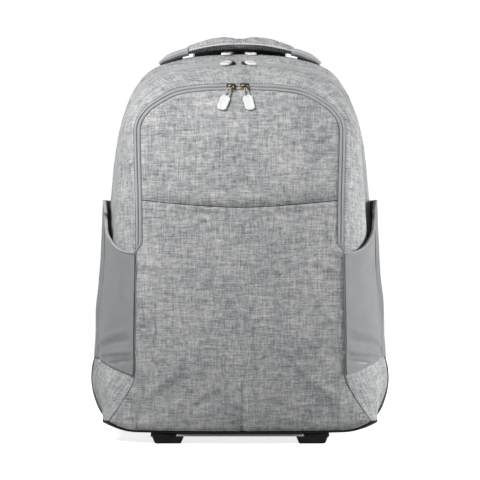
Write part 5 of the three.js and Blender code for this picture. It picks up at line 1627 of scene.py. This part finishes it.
# Each pull: its zip and place along it, then how far its tab hangs, swings aside and stands off, as shares
PULLS = [
    {"zip": "front", "side": "left", "w": 0.5, "at": -0.955, "hang": 1.05, "swing": -0.72, "raise": 0},
    {"zip": "front", "side": "right", "w": 0.5, "at": 0.455, "hang": 1.05, "swing": 0.47, "raise": 0},
    {"zip": "main", "side": "left", "w": 2.5, "at": -1.0, "hang": 1.03, "swing": -0.47, "raise": 1},
    {"zip": "main", "side": "right", "w": 2.5, "at": 0.636, "hang": 1.03, "swing": 0.47, "raise": 1},
    {"zip": "rear", "side": "left", "w": 4.5, "at": -1.0, "hang": 0.92, "swing": -0.43, "raise": 0},
    {"zip": "rear", "side": "right", "w": 4.5, "at": 0.727, "hang": 0.92, "swing": 0.43, "raise": 0},
]


def row_at(w, x):
    low, high = CREST_ROW - 3.0, CREST_ROW + 3.0
    for _ in range(24):
        middle = (low + high) / 2
        if skin(middle, w)[0] < x:
            low = middle
        else:
            high = middle
    return (low + high) / 2


def slider_part():
    """A slider, drawn as one flat body with a bridge; the oval ring through it is added with the pull."""
    half_x, half_y = SLIDER_LENGTH / 2, SLIDER_WIDTH / 2
    body = stacked(half_x, half_y, 2.4, eased(0.0, 1.5, 0.5, 2), 5)
    bridge = []
    for share in np.linspace(-1, 1, 13):
        bridge.append((share * half_x * 0.72, 0.0, 1.3 + 1.6 * math.cos(share * math.pi / 2) ** 0.6))
    arch_part = tube(bridge, 0.75, 8, 1.6, up=(0.0, 1.0, 0.0))
    return body, arch_part


def ring_part(centre, wide, tall, wire, across, along):
    angle = np.linspace(0, 2 * math.pi, 28, endpoint=False)
    path = centre + np.cos(angle)[:, None] * wide * across + np.sin(angle)[:, None] * tall * along
    return tube(path, wire, 8, 1.0, up=tuple(np.cross(across, along)), closed_loop=True)


def pull(item):
    slider_x, hang, swing = item["at"] * SLIDER_LENGTH, item["hang"] * TAB_LENGTH, item["swing"] * TAB_WIDTH
    row = row_at(item["w"], slider_x)
    seat, seat_out = skin(row, item["w"]), skin_outward(row, item["w"])
    tangent = unit(skin(row + 0.1, item["w"]) - skin(row - 0.1, item["w"]))
    frame_axes = np.column_stack([tangent, np.cross(seat_out, tangent), seat_out])
    slider_seat = seat + seat_out * 0.25
    parts = [moved(part, frame_axes, slider_seat) for part in slider_part()]

    def hangs(distance):
        if item["zip"] == "front":
            x = slider_x + swing * distance / hang
            z = seat[2] - distance
            return np.array([x, float(front_y(np.array(x), np.array(z))), z])
        reach = np.linalg.norm(skin(row, item["w"] - 0.5) - skin(row, item["w"] - 1.5))
        half = np.linalg.norm(seat - skin(row, item["w"] - 0.5))
        w = item["w"] - 0.5 - (distance - half) / reach
        return skin(row_at(w, slider_x + swing * distance / hang), w)

    stand = item["raise"] * TAB_RAISE
    middle = hangs(hang)
    slope = unit(hangs(hang - TAB_LENGTH / 2) - hangs(hang + TAB_LENGTH / 4))
    out = unit(np.cross([1.0, 0.0, 0.0], slope))
    out = out if out @ seat_out > 0 else -out
    up = unit(slope * TAB_LENGTH + out * stand)
    across = unit(np.cross(up, out))
    normal = unit(np.cross(across, up))
    origin = middle + normal * (PULL_LIFT + stand / 2)
    axes = np.column_stack([across, up, normal])

    ring_middle = seat + seat_out * (SLIDER_HEIGHT - 0.6) - up * 2.6
    parts.append(ring_part(ring_middle, 4.2, 3.2, 0.75, across, unit(up - seat_out * 0.15)))
    slider = joined([facing_out(part) for part in parts])
    place(build(f"{item['zip']}_slider_{item['side']}", *slider), "gunmetal",
          [f"{item['zip']}_slider_{item['side']}"])

    levels = [
        (1.2, 0.0), (0.35, 0.35), (0.0, 1.0), (0.0, 2.0), (0.35, 2.65), (1.1, 3.0), (2.0, 3.0), (2.5, 2.55),
        (3.4, 2.5),
    ]
    tab = stacked(TAB_WIDTH / 2, TAB_LENGTH / 2, 4.6, levels, 8)
    tab[0][:, 0] *= 1 - 0.1 * bell(tab[0][:, 1] + 1, 5)
    low_ring = ring_middle - up * 3.0 + normal * 0.2
    to_local = (low_ring - origin) @ axes
    loops = []
    for spread in (-1, 1):
        points = np.array([
            [spread * LOOP_SPREAD * 0.9, TAB_LENGTH / 2 - 2.5, TAB_WALL / 2],
            [spread * LOOP_SPREAD, TAB_LENGTH / 2 + 1.5, TAB_WALL / 2 + 0.5],
            [to_local[0] + spread * LOOP_SPREAD * 0.7, to_local[1] - 2.0, to_local[2] + 0.6],
            [to_local[0] + spread * 0.8, to_local[1] + 0.9, to_local[2] + 1.2],
            [to_local[0] - spread * 0.2, to_local[1] + 1.2, to_local[2] + 0.9],
        ])
        keys = np.linspace(0, 1, len(points))
        t = np.linspace(0, 1, 26)
        line = np.stack([sample_rows(keys, points[:, k], t) for k in range(3)], -1)
        loops.append(tube(line, LOOP_RADIUS, 8, 1.0, up=(0.0, 0.0, 1.0)))
    name = f"{item['zip']}_pull_{item['side']}"
    tab_part = facing_out(moved(tab, axes, origin))
    place(build(name, *tab_part), "tab", [name])
    cords = joined([facing_out(moved(loop, axes, origin)) for loop in loops])
    place(build(name + "_cord", *cords, weave_round(cords[0])), "cord")


for item in PULLS:
    pull(item)

for side in SIGN:
    axle = bpy.data.objects[f"axle_{side}"]
    axle.data.materials.clear()
    axle.data.materials.append(LOOKS["metal"][0])


# Floor and backdrop

FLOOR_FRONT_Y = -650.0
FLOOR_BACK_Y = 5200.0
FLOOR_BEND = 900.0
BACKDROP_HIGH = 3400.0
FLOOR_HALF_WIDTH = 4000.0


def studio():
    turn = np.linspace(0, math.pi / 2, 17)
    side_view = [(FLOOR_FRONT_Y, 0.0), (FLOOR_BACK_Y, 0.0)]
    side_view += [(FLOOR_BACK_Y + FLOOR_BEND * math.sin(a), FLOOR_BEND * (1 - math.cos(a))) for a in turn[1:]]
    side_view.append((FLOOR_BACK_Y + FLOOR_BEND, BACKDROP_HIGH))
    points = [(x, y, z) for x in (-FLOOR_HALF_WIDTH, FLOOR_HALF_WIDTH) for y, z in side_view]
    count = len(side_view)
    faces = [(k, k + count, k + count + 1, k + 1) for k in range(count - 1)]
    floor = build("studio_floor", points, faces, closed=False, sharp=80)
    material, _, shader = new_material("studio", 0.9)
    shader.inputs["Base Color"].default_value = (0.93, 0.93, 0.93, 1)
    shader.inputs["Emission Color"].default_value = (1, 1, 1, 1)
    shader.inputs["Emission Strength"].default_value = 0.8
    floor.data.materials.append(material)
    floor.visible_diffuse = False


studio()
